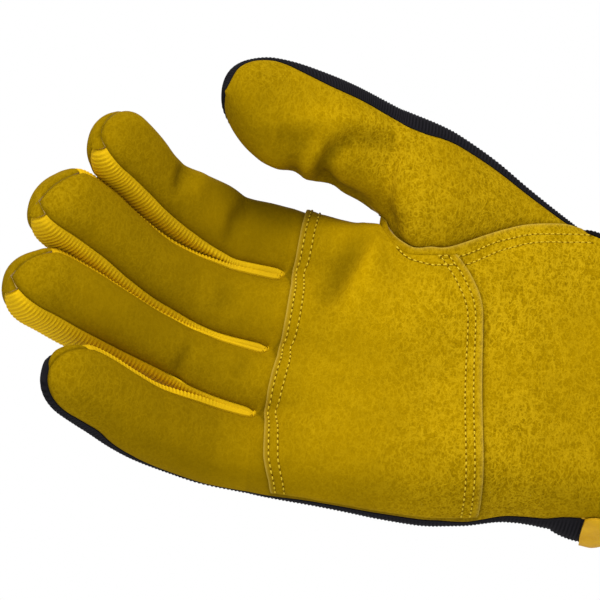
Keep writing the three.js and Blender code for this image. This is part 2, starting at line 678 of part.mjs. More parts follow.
// One piece of the skin, pulled back a little from its seams
function skinPiece(name, thickness) {
  const faces = skinFaces.filter((face) => face.piece === name).map((face) => face.corners);
  const numbers = [...new Set(faces.flat())];
  const local = new Map(numbers.map((number, i) => [number, i]));
  const used = new Map();
  faces.forEach((corners) =>
    corners.forEach((from, i) => {
      const to = corners[(i + 1) % 3];
      used.set(from + "," + to, { from, to, third: corners[(i + 2) % 3] });
    }),
  );
  const pulls = new Map();
  used.forEach(({ from, to, third }) => {
    const isOpening = skinEdges.get(Math.min(from, to) + "," + Math.max(from, to)) === 1;
    if (used.has(to + "," + from) || isOpening) return;
    const along = vector(to).sub(vector(from)).normalize();
    const inward = vector(third).sub(vector(from));
    inward.addScaledVector(along, -inward.dot(along)).normalize();
    [from, to].forEach((number) => {
      pulls.set(number, [...(pulls.get(number) || []), inward]);
    });
  });
  const points = numbers.map((number) => {
    const point = vector(number);
    const sides = pulls.get(number);
    if (sides) {
      const sum = sides.reduce((total, side) => total.add(side), new THREE.Vector3()).normalize();
      const closeness = Math.max(0.3, sum.dot(sides[0]));
      point.addScaledVector(sum, SEAM_INSET / closeness);
    }
    return point;
  });
  const normals = numbers.map((number) => skinNormals[number]);
  const localFaces = faces.map((corners) => corners.map((number) => local.get(number)));
  return sheetGeometry(points, normals, localFaces, 0, -thickness, numbers);
}

// The patch lies on the palm leather, on the same rows and columns.
function patchGeometry() {
  const faces = [];
  const numbers = [];
  const columnCount = frontShares.length;
  for (let row = PATCH_FIRST_ROW; row <= PATCH_LAST_ROW; row += 1) {
    const patchPoints = palmRow(row, "front").slice(PATCH_FIRST_COLUMN, columnCount - 1);
    patchPoints.forEach((point) => numbers.push(pointNumber(point)));
  }
  const columns = columnCount - 1 - PATCH_FIRST_COLUMN;
  for (let row = 0; row < PATCH_LAST_ROW - PATCH_FIRST_ROW; row += 1) {
    for (let column = 0; column + 1 < columns; column += 1) {
      const a = row * columns + column;
      faces.push([a + columns, a + columns + 1, a + 1], [a + columns, a + 1, a]);
    }
  }
  const points = numbers.map(vector);
  const normals = numbers.map((number) => skinNormals[number]);
  return sheetGeometry(points, normals, faces, PATCH_LIFT + PATCH_THICKNESS, PATCH_LIFT, numbers);
}

// Angle-weighted normals of a surface
function surfaceNormals(points, faces) {
  const normals = points.map(() => new THREE.Vector3());
  faces.forEach((corners) => {
    const [a, b, c] = corners.map((number) => points[number]);
    const normal = new THREE.Vector3().crossVectors(b.clone().sub(a), c.clone().sub(a)).normalize();
    corners.forEach((number, i) => {
      const to = points[corners[(i + 1) % 3]].clone().sub(points[number]);
      const from = points[corners[(i + 2) % 3]].clone().sub(points[number]);
      normals[number].addScaledVector(normal, to.angleTo(from));
    });
  });
  normals.forEach((normal) => normal.normalize());
  return normals;
}

// Columns of the skin round the wrist, from the palm side over the outer edge to the back
const cuffColumns = [
  ...frontShares
    .slice(1, 8)
    .reverse()
    .map((raw) => ({ side: "front", share: mix(ULNAR_SEAM_SHARE, 1, raw * 0.965) })),
  { side: "front", share: ULNAR_SEAM_SHARE },
  { side: "back", share: 0.0006 },
  ...backShares.slice(2).map((raw) => ({ side: "back", share: mix(ULNAR_SEAM_SHARE, 1, raw * 0.965) })),
];
const CUFF_SEAM_COLUMN = 7;

// Point of the cuff at x and at a place between two of its columns
function cuffPoint(x, place) {
  const before = Math.min(Math.floor(place), cuffColumns.length - 2);
  const [a, b] = [before, before + 1].map((column) => {
    const place = cuffColumns[column];
    return palmPoint(x, place.share, place.side);
  });
  return mixPoint(a, b, place - before);
}

// Distance round the wrist from the seam at each column of the cuff
const cuffDistances = (() => {
  const points = cuffColumns.map((_, column) => cuffPoint(STRAP_MIDDLE_X, column));
  const distances = [0];
  for (let i = 1; i < points.length; i += 1) {
    const step = Math.hypot(points[i][1] - points[i - 1][1], points[i][2] - points[i - 1][2]);
    distances.push(distances[i - 1] + step);
  }
  return distances.map((distance) => distance - distances[CUFF_SEAM_COLUMN]);
})();

// Place between two columns of the cuff at a distance round the wrist
function cuffPlace(distance) {
  let column = 0;
  while (column < cuffDistances.length - 2 && cuffDistances[column + 1] < distance) {
    column += 1;
  }
  return column + (distance - cuffDistances[column]) / (cuffDistances[column + 1] - cuffDistances[column]);
}

// Places of the strap's rows: its two ends, and each column of the cuff between them
function strapRows(margin) {
  const first = cuffPlace(STRAP_START + margin);
  const last = cuffPlace(STRAP_END - margin);
  const between = cuffColumns
    .map((_, column) => column)
    .filter((column) => column > first + 0.15 && column < last - 0.15);
  return [first, ...between, last];
}

// The strap's surface at a place round the wrist, across from 0 to 1 between its two edges
function strapPoint(place, across, margin) {
  const column = Math.min(Math.floor(place), cuffColumns.length - 2);
  const distance = mix(cuffDistances[column], cuffDistances[column + 1], place - column);
  const share = (distance - STRAP_START) / (STRAP_END - STRAP_START);
  const left = tableValue(STRAP_SECTIONS, share, "left", "share") + margin;
  const right = tableValue(STRAP_SECTIONS, share, "right", "share") - margin;
  return cuffPoint(mix(left, right, across), place);
}

function gridFaces(rows, columns, keep) {
  const faces = [];
  for (let row = 0; row + 1 < rows; row += 1) {
    for (let column = 0; column + 1 < columns; column += 1) {
      if (!keep(row, column)) continue;
      const a = row * columns + column;
      faces.push([a, a + columns + 1, a + 1], [a, a + columns, a + columns + 1]);
    }
  }
  return faces;
}

function sheetFromGrid(points, faces, outside, inside) {
  const used = [...new Set(faces.flat())];
  const local = new Map(used.map((number, i) => [number, i]));
  const normals = surfaceNormals(points, faces);
  return sheetGeometry(
    used.map((number) => points[number]),
    used.map((number) => normals[number]),
    faces.map((corners) => corners.map((number) => local.get(number))),
    outside,
    inside,
    used,
  );
}

function strapPanelGeometry() {
  const margin = BINDING_WIDTH + BINDING_GAP;
  const rows = strapRows(margin);
  const points = rows.flatMap((place) =>
    STRAP_SHARES.map((across) => new THREE.Vector3(...strapPoint(place, across, margin))),
  );
  const faces = gridFaces(rows.length, STRAP_SHARES.length, () => true);
  return sheetFromGrid(points, faces, STRAP_LIFT + STRAP_THICKNESS, STRAP_LIFT);
}

function strapBindingGeometry() {
  const inner = strapRows(BINDING_WIDTH);
  const ends = strapRows(0);
  const rows = [ends[0], ...inner, ends[ends.length - 1]];
  const points = rows.flatMap((place) => {
    const between = STRAP_SHARES.map((across) => strapPoint(place, across, BINDING_WIDTH));
    const row = [strapPoint(place, 0, 0), ...between, strapPoint(place, 1, 0)];
    return row.map((point) => new THREE.Vector3(...point));
  });
  const columns = STRAP_SHARES.length + 2;
  const lastRow = rows.length - 2;
  const faces = gridFaces(rows.length, columns, (row, column) =>
    row === 0 || row === lastRow || column === 0 || column === columns - 2,
  );
  return sheetFromGrid(points, faces, STRAP_LIFT + BINDING_THICKNESS, STRAP_LIFT);
}

const material = (color) => new THREE.MeshStandardMaterial({ color, roughness: 0.9, metalness: 0 });

function addMesh(group, name, geometry, color) {
  const mesh = new THREE.Mesh(geometry, material(color));
  mesh.name = name;
  group.add(mesh);
}

const glove = new THREE.Group();
glove.name = "leather_work_glove";
addMesh(glove, "palm_leather", skinPiece("palm_leather", LEATHER_THICKNESS), SUEDE_COLOUR);
addMesh(glove, "palm_patch", patchGeometry(), SUEDE_LIGHT_COLOUR);
addMesh(glove, "thumb_leather", skinPiece("thumb_leather", LEATHER_THICKNESS), SUEDE_COLOUR);
addMesh(glove, "hand_back", skinPiece("hand_back", KNIT_THICKNESS), KNIT_COLOUR);
addMesh(glove, "thumb_back", skinPiece("thumb_back", KNIT_THICKNESS), KNIT_COLOUR);
stripNames.forEach((name) => addMesh(glove, name, skinPiece(name, STRIP_THICKNESS), STRIP_COLOUR));
["index", "middle", "ring"].forEach((finger) => {
  const name = "tip_cap_" + finger;
  addMesh(glove, name, skinPiece(name, LEATHER_THICKNESS), SUEDE_LIGHT_COLOUR);
});
addMesh(glove, "wrist_strap", strapPanelGeometry(), STRAP_COLOUR);
addMesh(glove, "strap_binding", strapBindingGeometry(), STRAP_COLOUR);

export default glove;
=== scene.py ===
import bpy
import math
import numpy as np
from mathutils import Matrix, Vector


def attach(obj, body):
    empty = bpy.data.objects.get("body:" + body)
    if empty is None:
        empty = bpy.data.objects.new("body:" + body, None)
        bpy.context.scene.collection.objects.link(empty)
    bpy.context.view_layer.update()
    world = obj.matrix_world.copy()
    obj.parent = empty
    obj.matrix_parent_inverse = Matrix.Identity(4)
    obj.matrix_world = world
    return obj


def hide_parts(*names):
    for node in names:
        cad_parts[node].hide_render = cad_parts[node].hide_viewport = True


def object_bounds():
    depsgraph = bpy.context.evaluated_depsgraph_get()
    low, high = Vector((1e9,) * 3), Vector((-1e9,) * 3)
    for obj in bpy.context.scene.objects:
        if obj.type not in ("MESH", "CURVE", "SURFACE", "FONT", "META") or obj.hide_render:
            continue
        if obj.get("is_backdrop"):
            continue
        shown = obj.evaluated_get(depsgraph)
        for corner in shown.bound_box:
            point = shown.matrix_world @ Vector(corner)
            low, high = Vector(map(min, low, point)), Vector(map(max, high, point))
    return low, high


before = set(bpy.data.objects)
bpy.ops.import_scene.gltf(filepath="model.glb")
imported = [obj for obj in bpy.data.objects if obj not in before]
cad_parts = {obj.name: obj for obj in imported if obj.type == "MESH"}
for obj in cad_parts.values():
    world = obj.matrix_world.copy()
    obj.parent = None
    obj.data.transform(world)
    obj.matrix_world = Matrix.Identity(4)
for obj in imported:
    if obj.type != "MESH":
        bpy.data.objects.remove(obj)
cad_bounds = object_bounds()

MM = 0.001

# A gap to a seam that is too wide to matter
FAR = 99.0

# Wall thicknesses and lifts in millimetres, as all lengths here up to the finished meshes
LEATHER = 1.4
KNIT = 1.2
PATCH_LIFT = 0.3
PATCH_HEIGHT = 1.35
OVERLAP_LIFT = 1.25
OVERLAP_REACH = 8.0
OVERLAP_ROWS = (3.7, 12.2)
STRAP_LIFT = 0.5
STRAP_HEIGHT = 1.5
BINDING_WIDTH = 3.2
BINDING_HEIGHT = 2.7

# The hollow along a seam, and the rolled edge of a side strip by the crotch
SEAM_VALLEY = 0.75
SEAM_WIDTH = 1.5
ROLL_HEIGHT = 1.1
ROLL_PLACE = 2.1
ROLL_WIDTH = 1.9

# Distance from rib to rib, height of the ribs, and the knit's lift and seam hollow
KNIT_RIB = 1.26
STRIP_RIB = 1.42
KNIT_RIB_HEIGHT = 0.17
STRIP_RIB_HEIGHT = 0.2
KNIT_LIFT = 0.15
KNIT_VALLEY = (0.5, 1.2)
KNIT_FOLD_REACH = 4.0

# Painted shade and highlight: share by which a millimetre of fold, or a seam, darkens the hide, with fold
# ridges painted lighter
FOLD_PAINTED_LIGHT = 0.145
SEAM_PAINTED_SHADE = 0.4
SEAM_PAINTED_SHADE_WIDTH = 0.8

# How far the mouths between the fingers are drawn together near the palm, and over what lengths
MOUTH_PINCH = 0.62
MOUTH_REACH = 5.5
MOUTH_TIP = 2.2
MOUTH_TIP_REACH = 3.5
MOUTH_END_PINCH = 0.24
MOUTH_END_REACH = 2.5
MOUTH_OPEN_FROM = 20.0
MOUTH_OPEN_RUN = 22.0

# Distance from stitch to stitch, and of the rows of stitches from the edges
STITCH_PITCH = 2.1
LEFT_STITCHES = (1.9, 5.0)
RIGHT_STITCHES = (2.9, 5.8)
THUMB_STITCHES = (4.2, 7.6)

# Roundness and rows of a finger, and the angles to which the strips beside it reach
SECTION_POWER = 2.3
STRIP_HALF_ANGLE = 32.0
STRIP_BACK_ANGLE = 42.0
TIP_ROUND_POWER = 2.3
FINGER_ROWS = 13
PANEL_COLUMNS = 6
ROW_CROWDING = 1.35
BEND_RUN = 14.0
LITTLE_BACK_ANGLE = 206.0


def table(names, *rows):
    return {name: np.array([row[i] for row in rows], float) for i, name in enumerate(names.split())}


# Fingers, base to tip. x, y, z: centre line. width: half width along Z. depth: half depth.
SECTION_NAMES = "x y z width depth"
INDEX_SECTIONS = table(
    SECTION_NAMES,
    (-161.5, 2.0, 36.0, 13.1, 12.0),
    (-179, 1.5, 37.2, 13.4, 12.0),
    (-190, -3.0, 39.2, 13.9, 12.2),
    (-200, -8.5, 40.4, 13.0, 12.0),
    (-209, -15, 43.0, 12.3, 11.8),
    (-217, -22.5, 47.4, 13.2, 11.6),
    (-224, -30, 50.0, 13.4, 10.8),
    (-230, -39.5, 48.6, 12.0, 10.0),
)
MIDDLE_SECTIONS = table(
    SECTION_NAMES,
    (-163.0, 2.0, 7.0, 13.2, 12.2),
    (-180, 1.6, 8.4, 13.2, 12.2),
    (-192, -1.0, 10.2, 13.5, 12.3),
    (-204, -7.0, 12.6, 13.8, 12.2),
    (-217, -14, 17.2, 14.1, 13.0),
    (-229, -22.5, 22.4, 14.5, 13.0),
    (-238, -30, 24.2, 14.0, 12.6),
    (-246, -39, 21.4, 12.6, 11.6),
)
RING_SECTIONS = table(
    SECTION_NAMES,
    (-165.0, 2.0, -18.6, 10.9, 12.0),
    (-180, 1.6, -16.2, 10.9, 12.0),
    (-192, -1.0, -14.2, 11.2, 12.0),
    (-204, -6.5, -11.6, 11.8, 12.0),
    (-217, -12.5, -8.7, 12.6, 13.0),
    (-230, -19.5, -5.8, 13.2, 13.4),
    (-241, -27, -4.1, 12.9, 13.0),
    (-250.8, -35.5, -5.2, 11.6, 12.0),
)
LITTLE_SECTIONS = table(
    SECTION_NAMES,
    (-165.0, 2.0, -43.4, 12.3, 11.8),
    (-177, 0.5, -42.8, 12.6, 11.8),
    (-188, -4.0, -42.0, 12.7, 11.7),
    (-199, -10, -41.0, 12.8, 11.5),
    (-208, -16, -39.2, 13.0, 11.3),
    (-217, -22.5, -36.8, 12.9, 10.8),
    (-224.5, -28.5, -35.6, 12.3, 10.2),
    (-233, -36, -35.4, 11.4, 9.6),
)

# One row per finger, from the outer side of the hand inward.
# outer and inner: whether a strip runs on that side. strip_end, inner_end and cap_start: rows.
FINGER_VALUES = "name sections outer inner strip_end inner_end cap_start tip_round"
FINGERS = [
    dict(zip(FINGER_VALUES.split(), row))
    for row in (
        ("pinky", LITTLE_SECTIONS, False, True, 10, 10, 13, 15),
        ("ring", RING_SECTIONS, True, True, 12.5, 10.6, 10, 15),
        ("middle", MIDDLE_SECTIONS, True, True, 12.5, 10.6, 10, 16),
        ("index", INDEX_SECTIONS, True, False, 12.5, 10.6, 10, 16),
    )
]
LITTLE_SEAM = table("row angle", (0, -12), (1, -14), (3, -16), (6, -9), (8, 3), (10, -1), (13, -6))

PALM_SECTIONS = table(
    "x z_outer z_thumb y_outer front_outer front_mid front_thumb back_outer back_mid back_thumb",
    (-164, -55.7, 49.1, 1.5, -10, -10, -10, 13.5, 14, 14),
    (-157, -56.3, 47.8, 1, -13, -12.5, -12, 15, 16, 15),
    (-140, -57.4, 43.8, 0, -17, -15, -16, 16.5, 18, 15.5),
    (-131, -57.9, 41.8, 0, -18.5, -15.5, -18, 17, 18.6, 15.5),
    (-119, -58.5, 32.0, 0, -20, -15.5, -20, 17.5, 19.2, 16),
    (-106, -58.7, 33.4, 0, -21.5, -16.5, -21, 17.5, 19.6, 16.5),
    (-90, -56.8, 43.6, 0, -22.5, -18.5, -20, 17.5, 20, 16.5),
    (-75, -53.4, 50.4, 0, -22, -19.5, -18.5, 17.5, 20.4, 16),
    (-57, -52.8, 52.8, 0.5, -19.5, -19, -16.5, 18, 21, 16),
    (-42, -53.2, 47.6, 0.5, -19, -20, -17.5, 18.5, 22, 17.5),
    (-20, -49.6, 46.0, 0.2, -20, -22.5, -19.5, 19.5, 23, 19.5),
    (0, -50, 50, 0, -22, -25, -22, 22, 25, 22),
)
THUMB_SEAM = table(
    "x y z_back y_back round",
    (-164, 0, 49.1, 0, 1),
    (-148, -1, 47.0, -1, 1),
    (-140, -3.5, 44.8, -3.5, 1),
    (-131, -9.5, 41.8, -9.5, 1),
    (-126.4, -15.5, 42.6, -1, 0.45),
    (-119, -20, 41.2, 4, 0.1),
    (-106, -21.5, 42.0, 8.5, 0),
    (-93, -18, 46.0, 11, 0),
    (-80, -14, 50.0, 10.5, 0),
    (-68, -9.5, 52.6, 4, 0.4),
    (-57.2, -5, 52.8, -5, 1),
    (-25, -4.5, 46, -4.5, 1),
    (0, -4, 50, -4, 1),
)

# Where the palm leather meets the knit back along the outer side of the hand.
# rise: share of the way from the outermost line to the flat of the palm, negative toward the back
OUTER_SEAM = table(
    "x rise",
    (-164, -0.3),
    (-157, -0.2),
    (-145, -0.06),
    (-130, 0.01),
    (-100, 0.04),
    (-90, -0.08),
    (-84, -0.02),
    (-74, 0.08),
    (-64, 0.14),
    (-57, 0.3),
    (-52, 0.3564),
)

# Where the thumb leaves the hand, its base and its free part from low edge to top edge
WEB_X = -131.0
WEB_POINT = np.array([-131.0, -9.5, 44.5])
WEB_CALM = 0.9
WEB_CALM_REACH = 6.0
THUMB_END_X = -57.1
THUMB_BASE = table(
    "x y z front back",
    (-131, -19, 85.2, 12.5, 13.0),
    (-114, -15, 82.6, 10.0, 14.0),
    (-99, -11, 77.6, 7.5, 13.0),
    (-83, -8, 68.2, 4.6, 10.0),
    (-69, -6.5, 59.6, 1.4, 6.0),
    (-57, -5, 52.8, 0, 0),
)
THUMB_SECTIONS = table(
    "place x_low y_low z_low x_top y_top z_top depth",
    (0, -131, -10, 46.6, -131, -19, 85.2, 13.0),
    (1, -141, -14, 49.4, -142, -23.5, 87.0, 13.2),
    (2, -152, -19.5, 50.2, -154, -28.5, 88.2, 13.2),
    (3, -163, -25, 50.4, -166, -33, 88.8, 13.0),
    (4, -172, -29.5, 51.4, -176, -37, 87.8, 12.4),
    (5, -180, -34.5, 55.0, -184, -40, 84.4, 11.2),
    (6, -186.5, -39.5, 61.5, -188.5, -42.5, 79.0, 8.6),
    (7, -190.5, -44, 70.0, -190.5, -44, 70.0, 0),
)
THUMB_ROWS = 9
THUMB_OUTER_SEAM = table(
    "station share",
    (0, 0.45),
    (1, 0.55),
    (2, 0.72),
    (3, 0.82),
    (5, 0.885),
    (8, 0.845),
    (11, 0.845),
    (12.15, 0.885),
    (13.3, 0.97),
    (14.5, 0.992),
    (18, 0.992),
)
THUMB_WRAP = table("station share", (0, 0.082), (14, 0.082), (15.5, 0.13), (18, 0.3))
THUMB_TILT = 0.24
THUMB_LEAN = 0.42
THUMB_CROWDING = 1.3
THUMB_TURN_ROWS = 2.5
THUMB_BULGE_POWER = 2.25
PATCH_EDGES = table(
    "across left right",
    (0.0, -155.5, -86.5),
    (0.1, -159.5, -87.5),
    (0.3, -161.0, -89.5),
    (0.5, -159.0, -91.0),
    (0.7, -158.5, -93.0),
    (0.85, -158.0, -98.0),
    (1.0, -157.0, -106.0),
)

# Rows and columns of the palm's surface, and how its two sides are rounded
PATCH_ROW_SHARES = [0, 0.17, 0.34, 0.51, 0.6, 0.74, 0.87, 1]
HEEL_ROW_SHARES = [0.12, 0.24, 0.35, 0.42, 0.462, 0.56, 0.68, 0.84, 1]
PATCH_ROW = 8
LAST_ROW = 17
WEB_ROW = 4
THUMB_START_ROW = 13
OUTER_SEAM_SHARE = 0.008
SCALLOP_LENGTH = 26.0
SCALLOP_POWER = 1.35
EDGE_ROUND = 0.18
EDGE_BEND = 2.4
EDGE_RISE = 2.2
BACK_FIRST_RISE = -0.111
BACK_STEP_RISE = 0.2
CROTCH_SAG = 1.4
BRIDGE_KERNEL = ((-1.2, 1 / 9), (-0.6, 2 / 9), (0.0, 1 / 3), (0.6, 2 / 9), (1.2, 1 / 9))
BRIDGE_HALF_WIDTH = 1.6
BRIDGE_REACH = 9.0
WEB_SHARE = 0.965
SIDE_BAND_WIDTH = 3.5
THUMB_WEB_STATION = 8.9
KNIT_EDGE_ROW = 12.4

# Strap: its two edges, and where it starts and ends round the wrist
STRAP_EDGES = table(
    "share left right",
    (0, -44, -12),
    (0.04, -52.5, -12),
    (0.09, -52.5, -12.5),
    (0.35, -48, -13),
    (0.8, -44, -16),
    (0.93, -41.5, -18.5),
    (1, -36, -24),
)
STRAP_START = -5.0
STRAP_END = 92.0
STRAP_MIDDLE_X = -33.0


def mix(a, b, share):
    return a + (b - a) * share


def smooth(share):
    s = np.clip(share, 0, 1)
    return s * s * (3 - 2 * s)


# Cubic between two values with their slopes. t is the share of the way over a step of the given width.
def hermite(t, width, first, first_slope, second, second_slope):
    t2 = t * t
    t3 = t2 * t
    return (
        (2 * t3 - 3 * t2 + 1) * first
        + (t3 - 2 * t2 + t) * width * first_slope
        + (-2 * t3 + 3 * t2) * second
        + (t3 - t2) * width * second_slope
    )


# Smooth curve through knots with monotone slopes. values may differ from point to point.
def knot_curve(knots, values, at):
    knots = np.asarray(knots)
    at = np.clip(np.asarray(at, float), knots[0], knots[-1])
    values = np.broadcast_to(values, at.shape + (len(knots),))
    slopes = np.diff(values, axis=-1) / np.diff(knots)
    before = slopes[..., :-1]
    after = slopes[..., 1:]
    total = before + after
    safe = np.where(np.abs(total) < 1e-12, 1.0, total)
    inner = np.where(before * after <= 0, 0.0, 2 * before * after / safe)
    tangents = np.concatenate([slopes[..., :1], inner, slopes[..., -1:]], axis=-1)
    k = np.clip(np.searchsorted(knots, at, side="right") - 1, 0, len(knots) - 2)
    pick = lambda array, index: np.take_along_axis(array, index[..., None], axis=-1)[..., 0]
    width = knots[k + 1] - knots[k]
    t = (at - knots[k]) / width
    return hermite(t, width, pick(values, k), pick(tangents, k), pick(values, k + 1), pick(tangents, k + 1))


def curve(rows, at, column, key="x"):
    knots = rows[key]
    values = rows[column]
    if knots[-1] < knots[0]:
        knots, values = knots[::-1], values[::-1]
    return knot_curve(knots, values, at)


# 1 at the distance 0, and gently down to nothing beyond the width
def bump(distance, width):
    return np.exp(-((distance / width) ** 2))


def unit(vectors):
    return vectors / np.linalg.norm(vectors, axis=-1, keepdims=True)


def signed_power(value, power):
    return np.sign(value) * np.abs(value) ** power


def crossed(rows, columns):
    return np.meshgrid(rows, columns, indexing="ij")


def place(*parts):
    return np.stack(np.broadcast_arrays(*parts), axis=-1).astype(float)


# Running length along a line of points
def run_along(points):
    steps = np.linalg.norm(np.diff(points, axis=0), axis=1)
    return np.concatenate([[0], np.cumsum(steps)])


for finger in FINGERS:
    rows = finger["sections"]
    rows["distance"] = run_along(place(rows["x"], rows["y"], rows["z"]))
    finger["length"] = rows["distance"][-1]


def finger_distance(finger, row):
    return finger["length"] * (1 - (1 - np.asarray(row, float) / FINGER_ROWS) ** ROW_CROWDING)


# Place on a finger. Angle 0 faces the thumb side and 90 the palm side.
def finger_point(finger, row, angle):
    row, angle = np.broadcast_arrays(np.asarray(row, float), np.asarray(angle, float))
    value = lambda name, distance: curve(finger["sections"], distance, name, "distance")
    length = finger["length"]
    d = finger_distance(finger, row)
    before = np.maximum(0, d - 2)
    after = np.minimum(length, d + 2)
    run_x = value("x", after) - value("x", before)
    run_y = value("y", after) - value("y", before)
    run = np.hypot(run_x, run_y)
    bend = smooth(d / BEND_RUN)
    along_x = mix(-1, run_x / run, bend)
    along_y = mix(0, run_y / run, bend)
    into_tip = np.clip((d - (length - finger["tip_round"])) / finger["tip_round"], 0, 1)
    shrink = (1 - into_tip**TIP_ROUND_POWER) ** (1 / TIP_ROUND_POWER)
    turn = np.radians(angle)
    across = signed_power(np.cos(turn), 2 / SECTION_POWER) * value("width", d) * shrink
    forward = signed_power(np.sin(turn), 2 / SECTION_POWER) * value("depth", d) * shrink
    return place(value("x", d) - along_y * forward, value("y", d) + along_x * forward, value("z", d) + across)


def outer_seam_angle(finger, row):
    return STRIP_HALF_ANGLE if finger["outer"] else curve(LITTLE_SEAM, row, "angle", "row")


def inner_seam_angle(finger):
    return STRIP_HALF_ANGLE if finger["inner"] else 0.0


def front_angle(finger, row, column):
    return mix(180 - outer_seam_angle(finger, row), inner_seam_angle(finger), column / PANEL_COLUMNS)


def back_angle(finger, row, column):
    last = 360 - inner_seam_angle(finger)
    if finger["outer"]:
        return mix(180 + STRIP_BACK_ANGLE, last, column / PANEL_COLUMNS)
    seam = 180 - outer_seam_angle(finger, row)
    past_seam = mix(LITTLE_BACK_ANGLE, last, (column - 1) / PANEL_COLUMNS)
    return np.where(column < 1, mix(seam, LITTLE_BACK_ANGLE, column), past_seam)


# Line where the palm splits into the fingers. Between two fingers it sags toward the wrist.
def base_line(column, side):
    column = np.asarray(column, float)
    first = 0 if side == "front" else 1
    angle_of = front_angle if side == "front" else back_angle
    points = np.zeros(column.shape + (3,))
    for f, finger in enumerate(FINGERS):
        start = 7 * f + (first if f else 0)
        extra = first if f == 0 else 0
        here = (column >= start - 1e-9) & (column <= start + 6 + extra + 1e-9)
        local = np.clip(column - start, 0, 6 + extra)
        points = np.where(here[..., None], finger_point(finger, 0.0, angle_of(finger, 0.0, local)), points)
        if f + 1 < len(FINGERS):
            end = start + 6 + extra
            between = (column > end) & (column < end + 1)
            share = np.clip(column - end, 0, 1)
            last = finger_point(finger, 0.0, angle_of(finger, 0.0, np.array(6.0 + extra)))
            nxt = finger_point(FINGERS[f + 1], 0.0, angle_of(FINGERS[f + 1], 0.0, np.array(0.0)))
            bridge = mix(last, nxt, share[..., None])
            bridge[..., 0] += CROTCH_SAG * np.sin(np.pi * share)
            points = np.where(between[..., None], bridge, points)
    return points


COLUMNS = {"front": 27, "back": 28}


def column_shares(side):
    z = base_line(np.arange(COLUMNS[side] + 1), side)[:, 2]
    return (z - z[0]) / (z[-1] - z[0])


SHARES = {side: column_shares(side) for side in COLUMNS}


def edge_rise(share):
    return (1 - np.clip(1 - share / EDGE_ROUND, 0, 1) ** EDGE_BEND) ** (1 / EDGE_RISE)


def edge_share(rise):
    return EDGE_ROUND * (1 - (1 - np.abs(rise) ** EDGE_RISE) ** (1 / EDGE_BEND))


def palm_point(x, share, side):
    x, share = np.broadcast_arrays(np.asarray(x, float), np.asarray(share, float))
    if side == "front":
        shared = np.ones(x.shape, bool)
    else:
        shared = (x <= WEB_X + 0.1) | (x >= THUMB_END_X)
    seam_z = np.where(shared, curve(PALM_SECTIONS, x, "z_thumb"), curve(THUMB_SEAM, x, "z_back"))
    seam_y = np.where(shared, curve(THUMB_SEAM, x, "y"), curve(THUMB_SEAM, x, "y_back"))
    rounding = curve(THUMB_SEAM, x, "round")
    outer_z = curve(PALM_SECTIONS, x, "z_outer")
    outer_y = curve(PALM_SECTIONS, x, "y_outer")
    first = curve(PALM_SECTIONS, x, side + "_outer")
    thumb = curve(PALM_SECTIONS, x, side + "_thumb")
    middle = curve(PALM_SECTIONS, x, side + "_mid")
    heights = np.stack([first, first, middle, thumb, mix(seam_y, thumb, rounding)], axis=-1)
    s = np.clip(share, 0, 1)
    y = knot_curve(np.array([0, EDGE_ROUND, 0.5, 1 - EDGE_ROUND, 1]), heights, s)
    y = np.where(s < EDGE_ROUND, mix(outer_y, y, edge_rise(s)), y)
    into = np.clip((s - 1 + EDGE_ROUND) / EDGE_ROUND, 0, 1)
    rise = (1 - into**EDGE_BEND) ** (1 / EDGE_RISE)
    y = np.where(s > 1 - EDGE_ROUND, mix(y, mix(seam_y, y, rise), rounding), y)
    return place(x, y, mix(outer_z, seam_z, s))


def patch_edge(share, side):
    return curve(PATCH_EDGES, np.clip(share, 0, 1), side, "across")


def palm_x(row, share, base_x):
    patch = np.interp(row, np.arange(1, PATCH_ROW + 1), PATCH_ROW_SHARES)
    heel = np.interp(row, np.arange(PATCH_ROW, LAST_ROW + 1), [0] + HEEL_ROW_SHARES)
    left = patch_edge(share, "left")
    right = patch_edge(share, "right")
    x = np.where(row <= PATCH_ROW, mix(left, right, patch), mix(right, 0.0, heel))
    return np.where(row < 1, mix(base_x, left, np.clip(row, 0, 1)), x)


# Signed rise of a place near the outer edge of the hand: column 0 is on the seam.
def rise_near_edge(row, column, side, web):
    start = base_line(np.zeros(row.shape), "front")
    seam = curve(OUTER_SEAM, palm_x(row, OUTER_SEAM_SHARE, start[..., 0]), "rise")
    if side == "front":
        first = edge_rise(mix(OUTER_SEAM_SHARE, 1.0, SHARES[side][1] * web))
        return mix(seam, first, np.clip(column, 0, 1))
    first = np.minimum(BACK_FIRST_RISE, seam - BACK_STEP_RISE)
    second = -edge_rise(mix(OUTER_SEAM_SHARE, 1.0, SHARES[side][2] * web))
    near = mix(seam, first, np.clip(column, 0, 1))
    return np.where(column < 1, near, mix(first, second, np.clip(column - 1, 0, 1)))


# Bases of the palm's columns, where the bridges between the fingers even out away from the fingers
def evened_bridges(base, column, x):
    soft = np.zeros_like(base)
    for offset, weight in BRIDGE_KERNEL:
        soft += weight * base_line(np.clip(column + offset, 0, 27), "front")
    window = np.zeros(column.shape)
    for f in range(3):
        window = np.maximum(window, np.exp(-(((column - 7.0 * f - 6.5) / BRIDGE_HALF_WIDTH) ** 4)))
    share = smooth((x - base[..., 0]) / BRIDGE_REACH) * window
    return mix(base, soft, share[..., None])


